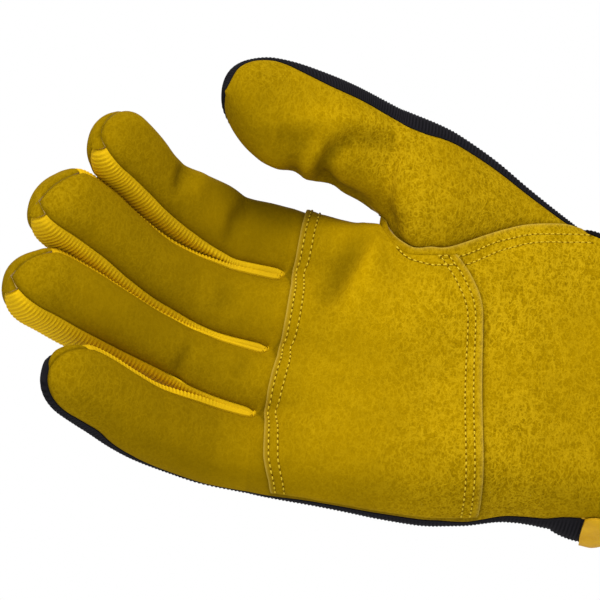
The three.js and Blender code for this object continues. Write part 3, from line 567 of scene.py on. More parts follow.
# Place on the palm side or on the back of the hand. row 0 is the finger bases, row 17 the cuff edge.
def palm_surface(row, column, side):
    row, column = np.broadcast_arrays(np.asarray(row, float), np.asarray(column, float))
    count = COLUMNS[side]
    web = mix(1.0, WEB_SHARE, np.clip(row - WEB_ROW, 0, 1))
    raw = np.interp(column, np.arange(count + 1), SHARES[side])
    share = mix(OUTER_SEAM_SHARE, 1.0, raw * web)
    share = np.where(column > count, mix(share, 1.0, np.clip(column - count, 0, 1)), share)
    rise = rise_near_edge(row, column, side, web)
    at_edge = column < (1 if side == "front" else 2)
    share = np.where(at_edge, edge_share(rise), share)
    over = at_edge & ((rise < 0) == (side == "front"))
    base = base_line(np.minimum(column, count), side)
    x = palm_x(row, share, base[..., 0])
    if side == "front":
        base = evened_bridges(base, column, x)
    fade = (1 - smooth((x - base[..., 0]) / SCALLOP_LENGTH)) ** SCALLOP_POWER
    fade = np.where(column > count, fade * (1 - np.clip(column - count, 0, 1)), fade)
    other = "back" if side == "front" else "front"
    point = np.where(over[..., None], palm_point(x, share, other), palm_point(x, share, side))
    start_x = base[..., 0]
    flat = np.where(over[..., None], palm_point(start_x, share, other), palm_point(start_x, share, side))
    point[..., 1] += fade * (base[..., 1] - flat[..., 1])
    point[..., 2] += fade * (base[..., 2] - flat[..., 2])
    return point


def thumb_edge_row(row, side):
    return palm_point(palm_x(row, 1.0, INDEX_SECTIONS["x"][0]), 1.0, side)


# Direction in which the thumb's front faces. turn runs from 0 at the hand to 1 on the free thumb.
def thumb_forward(turn):
    along_x = THUMB_LEAN * turn
    return np.array([along_x, -math.sqrt(1 - along_x**2 - THUMB_TILT**2), -THUMB_TILT])


def thumb_section(low, low_back, top, front_bulge, back_bulge, forward, low_round, share, side):
    rounded = (1 - np.abs(2 * share - 1) ** THUMB_BULGE_POWER) ** (1 / THUMB_BULGE_POWER)
    soft = mix(np.sin(np.pi * share), rounded, low_round)
    bulge = np.where(share < 0.5, soft, rounded)
    start = low if side == "front" else low_back
    size = front_bulge if side == "front" else -back_bulge
    return mix(start, top, share[:, None]) + forward * (size * bulge)[:, None]


def thumb_base_section(row, share, side):
    low = thumb_edge_row(row, "front")
    low_back = thumb_edge_row(row, "back")
    x = low[0]
    top = np.array([x, curve(THUMB_BASE, x, "y"), curve(THUMB_BASE, x, "z")])
    bulges = curve(THUMB_BASE, x, "front"), curve(THUMB_BASE, x, "back")
    low_round = float(np.clip((-100 - x) / 31, 0, 1))
    return thumb_section(low, low_back, top, *bulges, thumb_forward(0), low_round, share, side)


def thumb_tube_section(row, share, side):
    at = (1 - (1 - row / THUMB_ROWS) ** THUMB_CROWDING) * THUMB_SECTIONS["place"][-1]
    value = lambda column: float(curve(THUMB_SECTIONS, at, column, "place"))
    low = np.array([value("x_low"), value("y_low"), value("z_low")])
    top = np.array([value("x_top"), value("y_top"), value("z_top")])
    turn = float(smooth(row / THUMB_TURN_ROWS))
    return thumb_section(low, low, top, value("depth"), value("depth"), thumb_forward(turn), 1.0, share, side)


THUMB_KNOTS = np.concatenate([np.arange(9), 9 + np.linspace(0, THUMB_ROWS, THUMB_ROWS * 2 + 1)])


# Smooth surface through the thumb's sections, wrist end first. share may differ from knot to knot.
def thumb_surface(station, share, side):
    knots = THUMB_KNOTS
    shares = np.broadcast_to(share, (len(knots), np.shape(share)[-1]))
    sections = []
    for knot, across in zip(knots, shares):
        if knot < 9:
            sections.append(thumb_base_section(THUMB_START_ROW - knot, across, side))
        else:
            sections.append(thumb_tube_section(knot - 9, across, side))
    stack = np.array(sections)
    tangents = np.gradient(stack, knots, axis=0)
    k = np.clip(np.searchsorted(knots, station, side="right") - 1, 0, len(knots) - 2)
    width = (knots[k + 1] - knots[k])[:, None, None]
    t = ((station - knots[k]) / (knots[k + 1] - knots[k]))[:, None, None]
    return hermite(t, width, stack[k], tangents[k], stack[k + 1], tangents[k + 1])


THUMB_STATIONS = 9 + THUMB_ROWS


# Collects grids of points into one surface, with values at its points.
class Surface:
    def __init__(self):
        self.points = []
        self.quads = []
        self.values = {}
        self.count = 0

    def add(self, points, flip=False, **values):
        rows, columns = points.shape[:2]
        index = self.count + np.arange(rows * columns).reshape(rows, columns)
        corners = [index[:-1, :-1], index[:-1, 1:], index[1:, 1:], index[1:, :-1]]
        quads = np.stack(corners, axis=-1).reshape(-1, 4)
        self.quads.append(quads[:, ::-1] if flip else quads)
        self.points.append(points.reshape(-1, 3))
        self.count += rows * columns
        for name, value in values.items():
            array = np.broadcast_to(value, (rows, columns)).reshape(-1)
            self.values.setdefault(name, []).append((self.count - rows * columns, array))

    # Joins points that coincide. Quads with one side of no length become triangles.
    def weld(self):
        points = np.concatenate(self.points)
        quads = np.concatenate(self.quads)
        keys = np.round(points, 3)
        _, first, inverse = np.unique(keys, axis=0, return_index=True, return_inverse=True)
        self.values = {name: self._gather(chunks)[first] for name, chunks in self.values.items()}
        self.p = points[first]
        quads = inverse.reshape(-1)[quads]
        repeats = np.stack([quads[:, i] == quads[:, (i + 1) % 4] for i in range(4)], axis=1)
        short = repeats.sum(axis=1)
        self.q = quads[short == 0]
        self.triangles = quads[short == 1][~repeats[short == 1]].reshape(-1, 3)

    def _gather(self, chunks):
        out = np.zeros(self.count)
        for start, array in chunks:
            out[start : start + len(array)] = array
        return out

    def normals(self):
        out = np.zeros_like(self.p)
        for faces, (a, b, c, d) in ((self.q, (0, 2, 1, 3)), (self.triangles, (0, 1, 0, 2))):
            corner = [self.p[faces[:, i]] for i in range(faces.shape[1])]
            normal = np.cross(corner[b] - corner[a], corner[d] - corner[c])
            for i in range(faces.shape[1]):
                np.add.at(out, faces[:, i], normal)
        length = np.linalg.norm(out, axis=1)
        length[length < 1e-12] = 1
        return out / length[:, None]

    def boundary(self):
        edges = []
        for faces in (self.q, self.triangles):
            following = np.roll(faces, -1, axis=1)
            edges += [np.stack([faces[:, i], following[:, i]], axis=1) for i in range(faces.shape[1])]
        edges = np.concatenate(edges)
        ordered = np.sort(edges, axis=1)
        _, inverse, counts = np.unique(ordered, axis=0, return_inverse=True, return_counts=True)
        return edges[counts[inverse.reshape(-1)] == 1]


def add_object(name, data):
    made = bpy.data.objects.new(name, data)
    bpy.context.scene.collection.objects.link(made)
    return made


def mesh_object(name, points, quads, triangles, sharp, values, face_values):
    mesh = bpy.data.meshes.new(name)
    mesh.vertices.add(len(points))
    mesh.vertices.foreach_set("co", (points * MM).astype(np.float32).ravel())
    loops = np.concatenate([quads.ravel(), triangles.ravel()]).astype(np.int32)
    mesh.loops.add(len(loops))
    mesh.loops.foreach_set("vertex_index", loops)
    sizes = np.concatenate([np.full(len(quads), 4), np.full(len(triangles), 3)])
    starts = np.concatenate([[0], np.cumsum(sizes)[:-1]]).astype(np.int32)
    mesh.polygons.add(len(sizes))
    mesh.polygons.foreach_set("loop_start", starts)
    mesh.update(calc_edges=True)
    mesh.validate()
    mesh.polygons.foreach_set("use_smooth", np.ones(len(mesh.polygons), bool))
    for domain, arrays in (("POINT", values), ("FACE", face_values)):
        for key, array in arrays.items():
            data = mesh.attributes.new(key, "FLOAT", domain).data
            data.foreach_set("value", array.astype(np.float32))
    if len(sharp):
        count = len(mesh.edges)
        ends = np.zeros(count * 2, np.int32)
        mesh.edges.foreach_get("vertices", ends)
        ends = np.sort(ends.reshape(-1, 2), axis=1).astype(np.int64)
        wanted = np.sort(np.asarray(sharp), axis=1).astype(np.int64)
        big = len(points) + 1
        flags = np.isin(ends[:, 0] * big + ends[:, 1], wanted[:, 0] * big + wanted[:, 1])
        mesh.attributes.new("sharp_edge", "BOOLEAN", "EDGE").data.foreach_set("value", flags)
    return add_object(name, mesh)


# Closed sheet: the surface lifted by "outside", and by "inside" for its other face
def sheet_object(name, surface, outside, inside):
    points, normals = surface.p, surface.normals()
    count = len(points)
    outer = points + normals * np.broadcast_to(outside, count)[:, None]
    inner = points + normals * np.broadcast_to(inside, count)[:, None]
    edges = surface.boundary()
    walls = np.stack([edges[:, 1], edges[:, 0], edges[:, 0] + count, edges[:, 1] + count], axis=1)
    quads = np.concatenate([surface.q, surface.q[:, ::-1] + count, walls])
    triangles = np.concatenate([surface.triangles, surface.triangles[:, ::-1] + count])
    cut = np.concatenate([np.zeros(2 * len(surface.q)), np.ones(len(walls)), np.zeros(len(triangles))])
    doubled = {}
    for key, array in surface.values.items():
        doubled[key] = np.concatenate([array, array if key == "shade" else np.zeros(count)])
    sharp = np.concatenate([edges, edges + count])
    return mesh_object(name, np.concatenate([outer, inner]), quads, triangles, sharp, doubled, {"cut": cut})


# Distance in millimetres along one direction of a grid to each of its two ends
def end_distance(points, axis):
    steps = np.linalg.norm(np.diff(points, axis=axis), axis=-1)
    pad = [(0, 0), (0, 0)]
    pad[axis] = (1, 0)
    run = np.pad(np.cumsum(steps, axis=axis), pad)
    return run, np.take(run, [-1], axis=axis) - run


def side_gap(points):
    return np.minimum(*end_distance(points, 1))


def valley(distance, depth=SEAM_VALLEY, width=SEAM_WIDTH):
    return -depth * bump(distance, width)


# Slow uneven waves of a soft hide, from a few seeded directions
def waves(points, length, seed):
    rng = np.random.default_rng(seed)
    total = np.zeros(len(points))
    for _ in range(7):
        direction = unit(rng.normal(size=3))
        period = length * rng.uniform(0.7, 1.5)
        total += np.sin(points @ direction * 2 * np.pi / period + rng.uniform(0, 6.28))
    return total / 7


# Folds of the leather: half width and height in millimetres, then the places that the fold runs through
FOLDS = [
    (3.6, -3.8, (-151, -4, 53), (-151, -12, 50), (-152, -18, 49), (-153, -29, 51), (-153, -32, 53),
     (-151, -34, 58), (-147, -34, 62)),
    (4.5, -1.7, (-149, -34, 60), (-142, -33, 64), (-134, -29, 66), (-126, -28, 66)),
    (5.0, 1.8, (-170, -43, 61), (-160, -40, 64), (-149, -36, 68), (-139, -32, 69), (-130, -28, 70)),
    (3.4, 1.5, (-160, -26, 50), (-159, -32, 51), (-156, -34, 54), (-154, -36, 58), (-149, -36, 64)),
    (5.5, -1.2, (-171, -41, 56), (-163, -39, 58), (-156, -37, 60)),
    (3.4, -2.8, (-164, -8, 53), (-164, -16, 51), (-164, -22, 50), (-163, -31, 51), (-162, -36, 54)),
    (4.5, 0.8, (-178, -36, 53), (-172, -33, 51), (-167, -30, 50)),
    (5.0, -1.8, (-131, -17, 47), (-128, -19, 42), (-122, -23, 36)),
    (6.0, -3.0, (-157, -23, 50), (-147, -18, 50), (-139, -14, 48), (-134, -11, 46)),
    (5.0, -1.0, (-162, -6, 49), (-150, -5, 46), (-142, -6, 44), (-136, -9, 42)),
    (5.4, -3.2, (-132, -16, 37), (-137, -17, 32), (-140, -17, 26), (-143, -15, 20), (-147, -14, 7)),
    (4.5, 1.9, (-131, -18, 37), (-133, -18, 29), (-135, -19, 22), (-137, -18, 13), (-139, -17, 3)),
    (3.5, -1.2, (-129, -18, 35), (-128, -20, 25), (-125, -21, 15)),
    (6.0, -1.2, (-151, -14, 38), (-152, -14, 29), (-153, -11, 16)),
    (2.8, -1.7, (-177, -7, 48), (-181, -12, 37), (-182, -10, 28)),
    (2.5, -1.8, (-201, -18, 51), (-201, -23, 47), (-202, -24, 39)),
    (3.5, 1.3, (-195, -12, 52), (-195, -19, 43), (-196, -20, 38)),
    (2.5, -1.3, (-189, -13, -12), (-192, -12, -20), (-193, -7, -26)),
    (2.5, -1.0, (-170, -9, -11), (-172, -10, -21)),
    (4.0, -1.1, (-179, -10, 13), (-180, -10, 2)),
    (6.5, 3.4, (-60, 6, -54), (-52, 7, -53), (-40, 7, -53)),
]


# Nearest place of a line to each point: its distance, the place itself and its running length
def nearest_on_line(points, line):
    run = run_along(line)
    best = np.full(len(points), 1e9)
    centre = np.zeros_like(points)
    along = np.zeros(len(points))
    for i in range(len(line) - 1):
        step = line[i + 1] - line[i]
        t = np.clip(((points - line[i]) @ step) / (step @ step), 0, 1)
        spot = line[i] + t[:, None] * step
        gap = np.linalg.norm(points - spot, axis=1)
        near = gap < best
        best = np.where(near, gap, best)
        centre = np.where(near[:, None], spot, centre)
        along = np.where(near, mix(run[i], run[i + 1], t), along)
    return best, centre, along


def fold_relief(points):
    relief = np.zeros(len(points))
    for width, height, *places in FOLDS:
        line = np.array(places, float)
        gap, _, along = nearest_on_line(points, line)
        ends = np.sin(np.pi * np.clip(along / run_along(line)[-1], 0.02, 0.98)) ** 0.5
        relief += height * ends * bump(gap, width)
    from_web = np.linalg.norm(points - WEB_POINT, axis=1)
    return relief * (1 - WEB_CALM * bump(from_web, WEB_CALM_REACH))


# The knit follows the leather's folds only beside the seams.
def knit_fold(points, gap):
    near_fingers = np.interp(points[:, 0], [-133, -130], [1.0, 0.2])
    return fold_relief(points) * bump(gap, KNIT_FOLD_REACH) * near_fingers


# Pieces that lie in the skin of the glove
def inner_side_angle(share):
    return mix(STRIP_HALF_ANGLE, -STRIP_HALF_ANGLE, share)


def outer_side_angle(share):
    return mix(180 - STRIP_HALF_ANGLE, 180 + STRIP_BACK_ANGLE, share)


def finger_grid(finger, rows, columns, angle_of):
    row, column = crossed(rows, columns)
    return finger_point(finger, row, angle_of(finger, row, column))


def side_grid(finger, rows, angle_of):
    row, share = crossed(rows, np.linspace(0, 1, 13))
    return finger_point(finger, row, angle_of(share))


def crotch_points():
    spots = []
    for f in range(3):
        spots.append(base_line(7 * f + 6 + np.linspace(0, 1, 5), "front"))
    return np.concatenate(spots)


# The mouths between the fingers are drawn together near the palm.
def mouth_line(f):
    row = np.linspace(0, 7, 29)
    low = finger_point(FINGERS[f], row, STRIP_HALF_ANGLE)
    high = finger_point(FINGERS[f + 1], row, 180.0 - STRIP_HALF_ANGLE)
    return np.concatenate([base_line(np.array([7.0 * f + 6.5]), "front"), (low + high) / 2])


def drawn_together(points):
    points = points.copy()
    for f in range(3):
        line = mouth_line(f)
        gap, centre, along = nearest_on_line(points, line)
        pinch = MOUTH_PINCH + MOUTH_END_PINCH * bump(along, MOUTH_END_REACH)
        closed = 1 - smooth((along - MOUTH_OPEN_FROM) / MOUTH_OPEN_RUN)
        hold = pinch * bump(gap, MOUTH_REACH) * closed
        from_tip = np.linalg.norm(points - line[0], axis=1)
        points += (centre - points) * hold[:, None]
        points[:, 0] -= MOUTH_TIP * bump(from_tip, MOUTH_TIP_REACH)
    return points


def nearest(points, spots):
    flat = points.reshape(-1, 3)
    best = np.full(len(flat), 1e9)
    for spot in spots:
        best = np.minimum(best, np.linalg.norm(flat - spot, axis=1))
    return best.reshape(points.shape[:-1])


# Strip of the palm or of the back beside the thumb
def side_band(side, rows):
    count = COLUMNS[side]
    near = palm_surface(rows, np.full(rows.shape, float(count)), side)
    far = palm_surface(rows, np.full(rows.shape, count + 1.0), side)
    beside = rows <= THUMB_START_ROW
    far[beside] = thumb_surface(THUMB_START_ROW - rows[beside], np.array([0.0]), side)[:, 0]
    share = np.linspace(0, 1, 6)
    return mix(near[:, None], far[:, None], share[None, :, None])


def overlap_window(row):
    return smooth((row - OVERLAP_ROWS[0]) / 1.1) * (1 - smooth(row - OVERLAP_ROWS[1]))


# Painted shade in the hide's colour: the fingers and the outer side of the hand are darker, and so are the
# thumb toward its tip and the heel.
def finger_painted_shade(row):
    return np.interp(row, [0, 2, 6, 9, 13], [0.80, 0.69, 0.66, 0.72, 0.72])


def thumb_painted_shade(station):
    return np.interp(station, [0, 8, 11, 14, 18], [0.92, 0.92, 1.0, 0.8, 0.72])


def palm_painted_shade(points):
    near_fingers = np.interp(points[:, 0], [-166, -154, -138, -120], [0.80, 0.9, 0.97, 1.0])
    outer_side = np.interp(points[:, 2], [-58, -36, 0], [0.85, 0.94, 1.0])
    heel = np.interp(points[:, 0], [-80, -45], [1.0, 0.92])
    return near_fingers * outer_side * heel


# Lift of the palm leather beside the edge that lies over the thumb
def overlap_lift(distance):
    return OVERLAP_LIFT * (1 - smooth(distance / OVERLAP_REACH))


def build_palm():
    surface = Surface()
    rows = np.linspace(0, FINGER_ROWS, FINGER_ROWS * 7 + 1)
    columns = np.linspace(0, PANEL_COLUMNS, PANEL_COLUMNS * 6 + 1)
    grain = np.interp(rows, [0, 8, 13], [0.3, 0.35, 0.6])[:, None]
    # The finger panels carry the fingers' painted shade.
    for finger in FINGERS:
        grid = finger_grid(finger, rows, columns, front_angle)
        surface.add(grid, gap=side_gap(grid), shade=finger_painted_shade(rows)[:, None], grain=grain)
    little = FINGERS[0]
    grid = side_grid(little, np.linspace(little["inner_end"], FINGER_ROWS, 22), inner_side_angle)
    _, end = end_distance(grid, 1)
    top, _ = end_distance(grid, 0)
    # The little finger's inner side is darkened with painted shade like the fingers.
    surface.add(grid, gap=np.minimum(end, top), shade=0.72, grain=0.5)
    rows = np.linspace(0, LAST_ROW, LAST_ROW * 8 + 1)
    row, column = crossed(rows, np.linspace(0, 27, 27 * 6 + 1))
    grid = palm_surface(row, column, "front")
    start, end = end_distance(grid, 1)
    end = end + SIDE_BAND_WIDTH * smooth(row - WEB_ROW)
    window = overlap_window(row)
    gap = np.minimum(np.minimum(start, end + FAR * window), nearest(grid, crotch_points()))
    lift = overlap_lift(end) * window
    # Painted shadow on the palm leather beside the patch's two cut edges
    run, _ = end_distance(grid, 0)
    beside_patch = np.maximum(run - run[8 * PATCH_ROW], run[8] - run)
    painted_contact_shadow = 1 - 0.4 * np.exp(-np.maximum(beside_patch, 0) / 0.9)
    surface.add(grid, flip=True, gap=gap, lift=lift, shade=painted_contact_shadow, palm=1.0, grain=palm_grain(grid[..., 0]))
    rows = rows[rows >= WEB_ROW - 1e-9]
    band = side_band("front", rows)
    _, end = end_distance(band, 1)
    window = overlap_window(rows)[:, None]
    gap = end + FAR * window
    lift = overlap_lift(end) * window
    rim = np.exp(-end / 0.45) * window
    grain = palm_grain(band[..., 0])
    surface.add(band, flip=True, gap=gap, lift=lift, shade=1.0, rim=rim, palm=1.0, grain=grain)
    surface.weld()
    values = surface.values
    relief = leather_relief(surface.p, values["gap"]) + values["lift"]
    # Painted shade on the palm, the folds' painted shade and highlight, and painted shade in the seams'
    # hollows
    tone = np.where(values["palm"] > 0.5, palm_painted_shade(surface.p), 1.0)
    values["shade"] *= fold_painted_light(surface.p) * tone * seam_painted_shade(values["gap"])
    surface.p = drawn_together(surface.p)
    return sheet_object("suede_palm", surface, relief, relief - LEATHER)


# Painted shade: a darker line in the hollow of a seam
def seam_painted_shade(gap):
    return 1 - SEAM_PAINTED_SHADE * bump(gap, SEAM_PAINTED_SHADE_WIDTH)


# Smooth by the fingers, rough toward the heel
def palm_grain(x):
    return np.interp(x, [-160, -135, -110, -85], [0.3, 0.45, 0.8, 1.0])


def hide_waves(points):
    return 0.35 * waves(points, 26, 3) + 0.12 * waves(points, 9, 4)


def leather_relief(points, gap):
    return valley(gap) + smooth(gap / 6) * hide_waves(points) + fold_relief(points)


# Painted shade and highlight: a fold's valley is painted darker than its ridge.
def fold_painted_light(points):
    return np.clip(1 + FOLD_PAINTED_LIGHT * fold_relief(points), 0.55, 1.12)


def thumb_shares(rows):
    return curve(rows, THUMB_KNOTS, "share", "station")[:, None]


# 0 where the thumb grows out of the hand, 1 on the free thumb
def on_free_thumb(stations):
    return smooth((stations - THUMB_WEB_STATION) / 0.6)


def build_thumb_front():
    surface = Surface()
    stations = np.linspace(0, THUMB_STATIONS, THUMB_STATIONS * 8 + 1)
    turn = np.linspace(0, 1, 41)
    crowded = mix(turn, (1 - np.cos(np.pi * turn * 0.95)) / (1 - math.cos(np.pi * 0.95)), 0.75)
    grid = thumb_surface(stations, thumb_shares(THUMB_OUTER_SEAM) * crowded, "front")
    start, end = end_distance(grid, 1)
    past_web = on_free_thumb(stations)[:, None]
    # Painted shade: the thumb darkens toward its tip, and a painted shadow lies beside the palm leather's
    # edge over the thumb's base.
    tone = thumb_painted_shade(stations)[:, None]
    under = (1 - smooth(start / 3)) * (1 - past_web)
    painted_contact_shadow = 1 - 0.35 * np.exp(-start / 1.5) * (1 - past_web)
    grain = np.interp(stations, [0, 10, 14, 18], [0.9, 0.9, 0.6, 0.35])[:, None]
    surface.add(grid, gap=end, under=under, shade=tone * painted_contact_shadow, grain=grain)
    joined = stations <= 9.0
    tuck = side_band("front", THUMB_START_ROW - stations[joined])
    depth = 1 + 4 * np.linspace(1, 0, tuck.shape[1])
    # The tuck under the palm leather's edge is darkened with painted shade.
    surface.add(tuck, gap=9.0, under=depth * (1 - past_web[joined]), shade=0.6, grain=0.5)
    wrapped = thumb_surface(stations, thumb_shares(THUMB_WRAP) * np.linspace(0, 1, 7), "back")
    low = thumb_surface(stations, np.array([0.0]), "back")
    wrapped = mix(low, wrapped, past_web[..., None])
    _, end = end_distance(wrapped, 1)
    free = stations >= THUMB_WEB_STATION
    gap = (end + 4 * (1 - past_web))[free]
    surface.add(wrapped[free], flip=True, gap=gap, shade=tone[free], grain=grain[free])
    surface.weld()
    relief = leather_relief(surface.p, surface.values["gap"]) - 0.25 * surface.values["under"]
    # Painted shade and highlight of the folds
    surface.values["shade"] *= fold_painted_light(surface.p)
    return sheet_object("suede_thumb", surface, relief, relief - LEATHER)


# Adds a grid of knit. run: running length across the ribs.
def add_knit(surface, grid, gap, run, **values):
    surface.add(grid, gap=gap, rib_phase=run / KNIT_RIB, rib_weight=smooth(gap / 1.5), **values)


def build_thumb_back():
    surface = Surface()
    fine = np.linspace(0, THUMB_STATIONS, THUMB_STATIONS * 40 + 1)
    middle = thumb_surface(fine, np.array([0.6]), "back")[:, 0]
    run = run_along(middle)
    stations = np.interp(np.arange(0, run[-1], KNIT_RIB / 4), run, fine)
    stations = np.append(stations, THUMB_STATIONS)
    ease = (1 - np.cos(np.pi * np.linspace(0, 1, 33))) / 2
    full = thumb_surface(stations, ease, "back")
    free = thumb_surface(stations, mix(thumb_shares(THUMB_WRAP), 1.0, ease), "back")
    back = mix(full, free, on_free_thumb(stations)[:, None, None])
    over = thumb_surface(stations, mix(1.0, thumb_shares(THUMB_OUTER_SEAM), np.linspace(0, 1, 9)), "front")
    grid = np.concatenate([back, over[:, 1:]], axis=1)
    add_knit(surface, grid, side_gap(grid), np.interp(stations, fine, run)[:, None], flip=True)
    surface.weld()
    gap = surface.values["gap"]
    relief = valley(gap, *KNIT_VALLEY) + KNIT_LIFT + knit_fold(surface.p, gap)
    return sheet_object("knit_thumb", surface, relief, relief - KNIT)


def build_hand_back():
    surface = Surface()
    for finger in FINGERS:
        fine = np.linspace(0, finger["cap_start"], 400)
        run = finger_distance(finger, fine)
        rows = np.append(np.interp(np.arange(0, run[-1], KNIT_RIB / 4), run, fine), finger["cap_start"])
        last = PANEL_COLUMNS if finger["outer"] else PANEL_COLUMNS + 1
        grid = finger_grid(finger, rows, np.linspace(0, last, last * 2 + 1), back_angle)
        _, to_cap = end_distance(grid, 0)
        gap = side_gap(grid)
        gap = np.minimum(gap, to_cap) if finger["outer"] else gap
        along = finger_distance(finger, rows) - finger["sections"]["x"][0]
        add_knit(surface, grid, gap, along[:, None], flip=True)
    fine = np.linspace(0, LAST_ROW, 800)
    middle = palm_surface(fine, np.full(fine.shape, 14.0), "back")[:, 0]
    rows = np.interp(np.arange(middle[0], 0, KNIT_RIB / 4), middle, fine)
    rows = np.append(rows, LAST_ROW)
    row, column = crossed(rows, np.linspace(0, 28, 57))
    grid = palm_surface(row, column, "back")
    start, end = end_distance(grid, 1)
    gap = np.minimum(start, end + SIDE_BAND_WIDTH * smooth(row - WEB_ROW))
    add_knit(surface, grid, gap, -grid[..., 0])
    rows = np.append(WEB_ROW, rows[rows > WEB_ROW])
    band = side_band("back", rows)[:, ::5]
    _, end = end_distance(band, 1)
    add_knit(surface, band, end, -band[..., 0])
    rows = rows[rows > KNIT_EDGE_ROW]
    reach = smooth((rows - KNIT_EDGE_ROW) / 1.3)[:, None] * np.linspace(0, 1.05, 9)
    edge = palm_surface(rows[:, None], 28.0 - reach, "front")
    add_knit(surface, edge, 3.0, -edge[..., 0], over=1.0)
    surface.weld()
    points, gap = surface.p, surface.values["gap"]
    relief = valley(gap, *KNIT_VALLEY) + KNIT_LIFT + 0.25 * waves(points, 30, 8) * smooth(gap / 6)
    relief += np.where(points[:, 0] > -70, fold_relief(points), knit_fold(points, gap))
    relief += 0.75 * surface.values["over"]
    return sheet_object("knit_back", surface, relief, relief - KNIT)


# Place on a side strip. turn runs 0 to 1 down one finger, 1 to 2 through the crotch, 2 to 3 up the next.
def strip_point(f, turn, share):
    turn, share = np.broadcast_arrays(turn, share)
    finger, following = FINGERS[f], FINGERS[f + 1]
    down = finger_point(finger, finger["inner_end"] * (1 - np.clip(turn, 0, 1)), inner_side_angle(share))
    up = finger_point(following, following["strip_end"] * np.clip(turn - 2, 0, 1), outer_side_angle(share))
    across = np.clip(turn - 1, 0, 1)
    bridge = mix(down, up, across[..., None])
    bridge[..., 0] += CROTCH_SAG * np.sin(np.pi * across)
    return np.where((turn <= 1)[..., None], down, np.where((turn >= 2)[..., None], up, bridge))


def build_strip(f):
    name = FINGERS[f + 1]["name"] + "_" + FINGERS[f]["name"]
    coarse = np.linspace(0, 3, 601)
    middle = strip_point(f, coarse, np.array(0.5))
    run = run_along(middle)
    lengths = np.append(np.arange(0, run[-1], STRIP_RIB / 6), run[-1])
    turns = np.interp(lengths, run, coarse)
    turns[np.argmin(np.abs(turns - 1))] = 1.0
    turns[np.argmin(np.abs(turns - 2))] = 2.0
    turn, share = crossed(turns, np.linspace(0, 1, 19))
    grid = strip_point(f, turn, share)
    start, end = end_distance(grid, 1)
    gap = np.minimum(start, end)
    from_crotch = np.abs(lengths - np.interp(1.5, coarse, run))[:, None]
    to_tip = np.minimum(lengths, run[-1] - lengths)[:, None]
    weight = smooth(gap / 2.0) * smooth((from_crotch - 6) / 26) * (0.25 + 0.75 * smooth(to_tip / 9))
    near_crotch = 1 - smooth((from_crotch - 14) / 30)
    roll = near_crotch * ROLL_HEIGHT * bump(start - ROLL_PLACE, ROLL_WIDTH)
    phase = lengths[:, None] / STRIP_RIB
    surface = Surface()
    surface.add(grid, flip=True, gap=gap, roll=roll, ends=to_tip, rib_phase=phase, rib_weight=weight)
    surface.weld()
    values = surface.values
    tucked = bump(values["gap"], 1.8) + 0.8 * np.exp(-values["ends"] / 0.8)
    relief = 0.55 - tucked + values["roll"]
    surface.p = drawn_together(surface.p)
    return sheet_object("ribbed_side_" + name, surface, relief, np.minimum(relief - 0.6, -KNIT))


def build_cap(finger):
    surface = Surface()
    rows = np.linspace(finger["cap_start"], FINGER_ROWS, 25)
    grid = finger_grid(finger, rows, np.linspace(0, PANEL_COLUMNS, 37), back_angle)
    start, end = end_distance(grid, 1)
    from_edge, _ = end_distance(grid, 0)
    outer_gap = start if finger["outer"] else np.full(start.shape, FAR)
    past_strips = [smooth((rows - finger[end]) * 4)[:, None] * FAR for end in ("strip_end", "inner_end")]
    inner_gap = end + (past_strips[1] if finger["inner"] else 0)
    gap = np.minimum(outer_gap + past_strips[0], inner_gap)
    raised = bump(from_edge, 3.0)
    surface.add(grid, flip=True, gap=gap, raised=raised, rim=np.exp(-from_edge / 0.6))
    sides = [("strip_end", outer_side_angle)]
    if finger["inner"]:
        sides.append(("inner_end", inner_side_angle))
    for first_row, angle_of in sides:
        grid = side_grid(finger, np.linspace(finger[first_row], FINGER_ROWS, 17), angle_of)
        start, _ = end_distance(grid, 1)
        top, _ = end_distance(grid, 0)
        raised = 0.6 * bump(top, 2.0)
        surface.add(grid, flip=first_row == "strip_end", gap=start, raised=raised, rim=0.0)
    surface.weld()
    points, values = surface.p, surface.values
    # Painted shade: the caps are darkened like the fingertips, and more in the seam's hollow.
    values["shade"] = 0.7 * seam_painted_shade(values["gap"])
    values["grain"] = np.full(len(points), 0.5)
    relief = valley(values["gap"], 0.7, 1.2) + 0.8 * values["raised"] + 0.15 * waves(points, 12, 6)
    inside = np.minimum(relief - 0.8, -LEATHER * 0.7)
    return sheet_object("suede_tip_" + finger["name"], surface, relief, inside)


# The patch lies on the palm between its two cut edges.
def build_patch():
    surface = Surface()
    rows = np.linspace(1, PATCH_ROW, (PATCH_ROW - 1) * 14 + 1)
    row, column = crossed(rows, np.linspace(0.75, 27, 190))
    grid = palm_surface(row, column, "front")
    cut = np.minimum(*end_distance(grid, 0))
    _, end = end_distance(grid, 1)
    rim = np.exp(-cut / 0.5)
    seam = side_gap(grid)
    surface.add(grid, flip=True, cut_gap=cut, seam_gap=seam, end_gap=end, row=row, shade=1.0, rim=rim)
    surface.weld()
    points, values = surface.p, surface.values
    values["grain"] = palm_grain(points[:, 0])
    cut = values["cut_gap"]
    lift = overlap_lift(values["end_gap"] + SIDE_BAND_WIDTH) * overlap_window(values["row"])
    base = leather_relief(points, np.minimum(nearest(points, crotch_points()), FAR)) + 0.9 * lift
    stitched = sum(bump(cut - inset, 1.0) for inset in LEFT_STITCHES)
    height = PATCH_HEIGHT * mix(0.72, 1.0, smooth(cut / 0.9)) * mix(0.25, 1, smooth(values["seam_gap"] / 3.0))
    relief = base + PATCH_LIFT + height - 0.16 * stitched
    # Painted shade and highlight of the folds, and the palm's painted shade
    values["shade"] *= fold_painted_light(points) * palm_painted_shade(points)
    return sheet_object("suede_patch", surface, relief, base + PATCH_LIFT * 0.3 - 0.2)


# Distance round the wrist from the outer seam, and the cuff's surface at a distance and an x
AROUND = np.linspace(-0.35, 1.0, 2701)


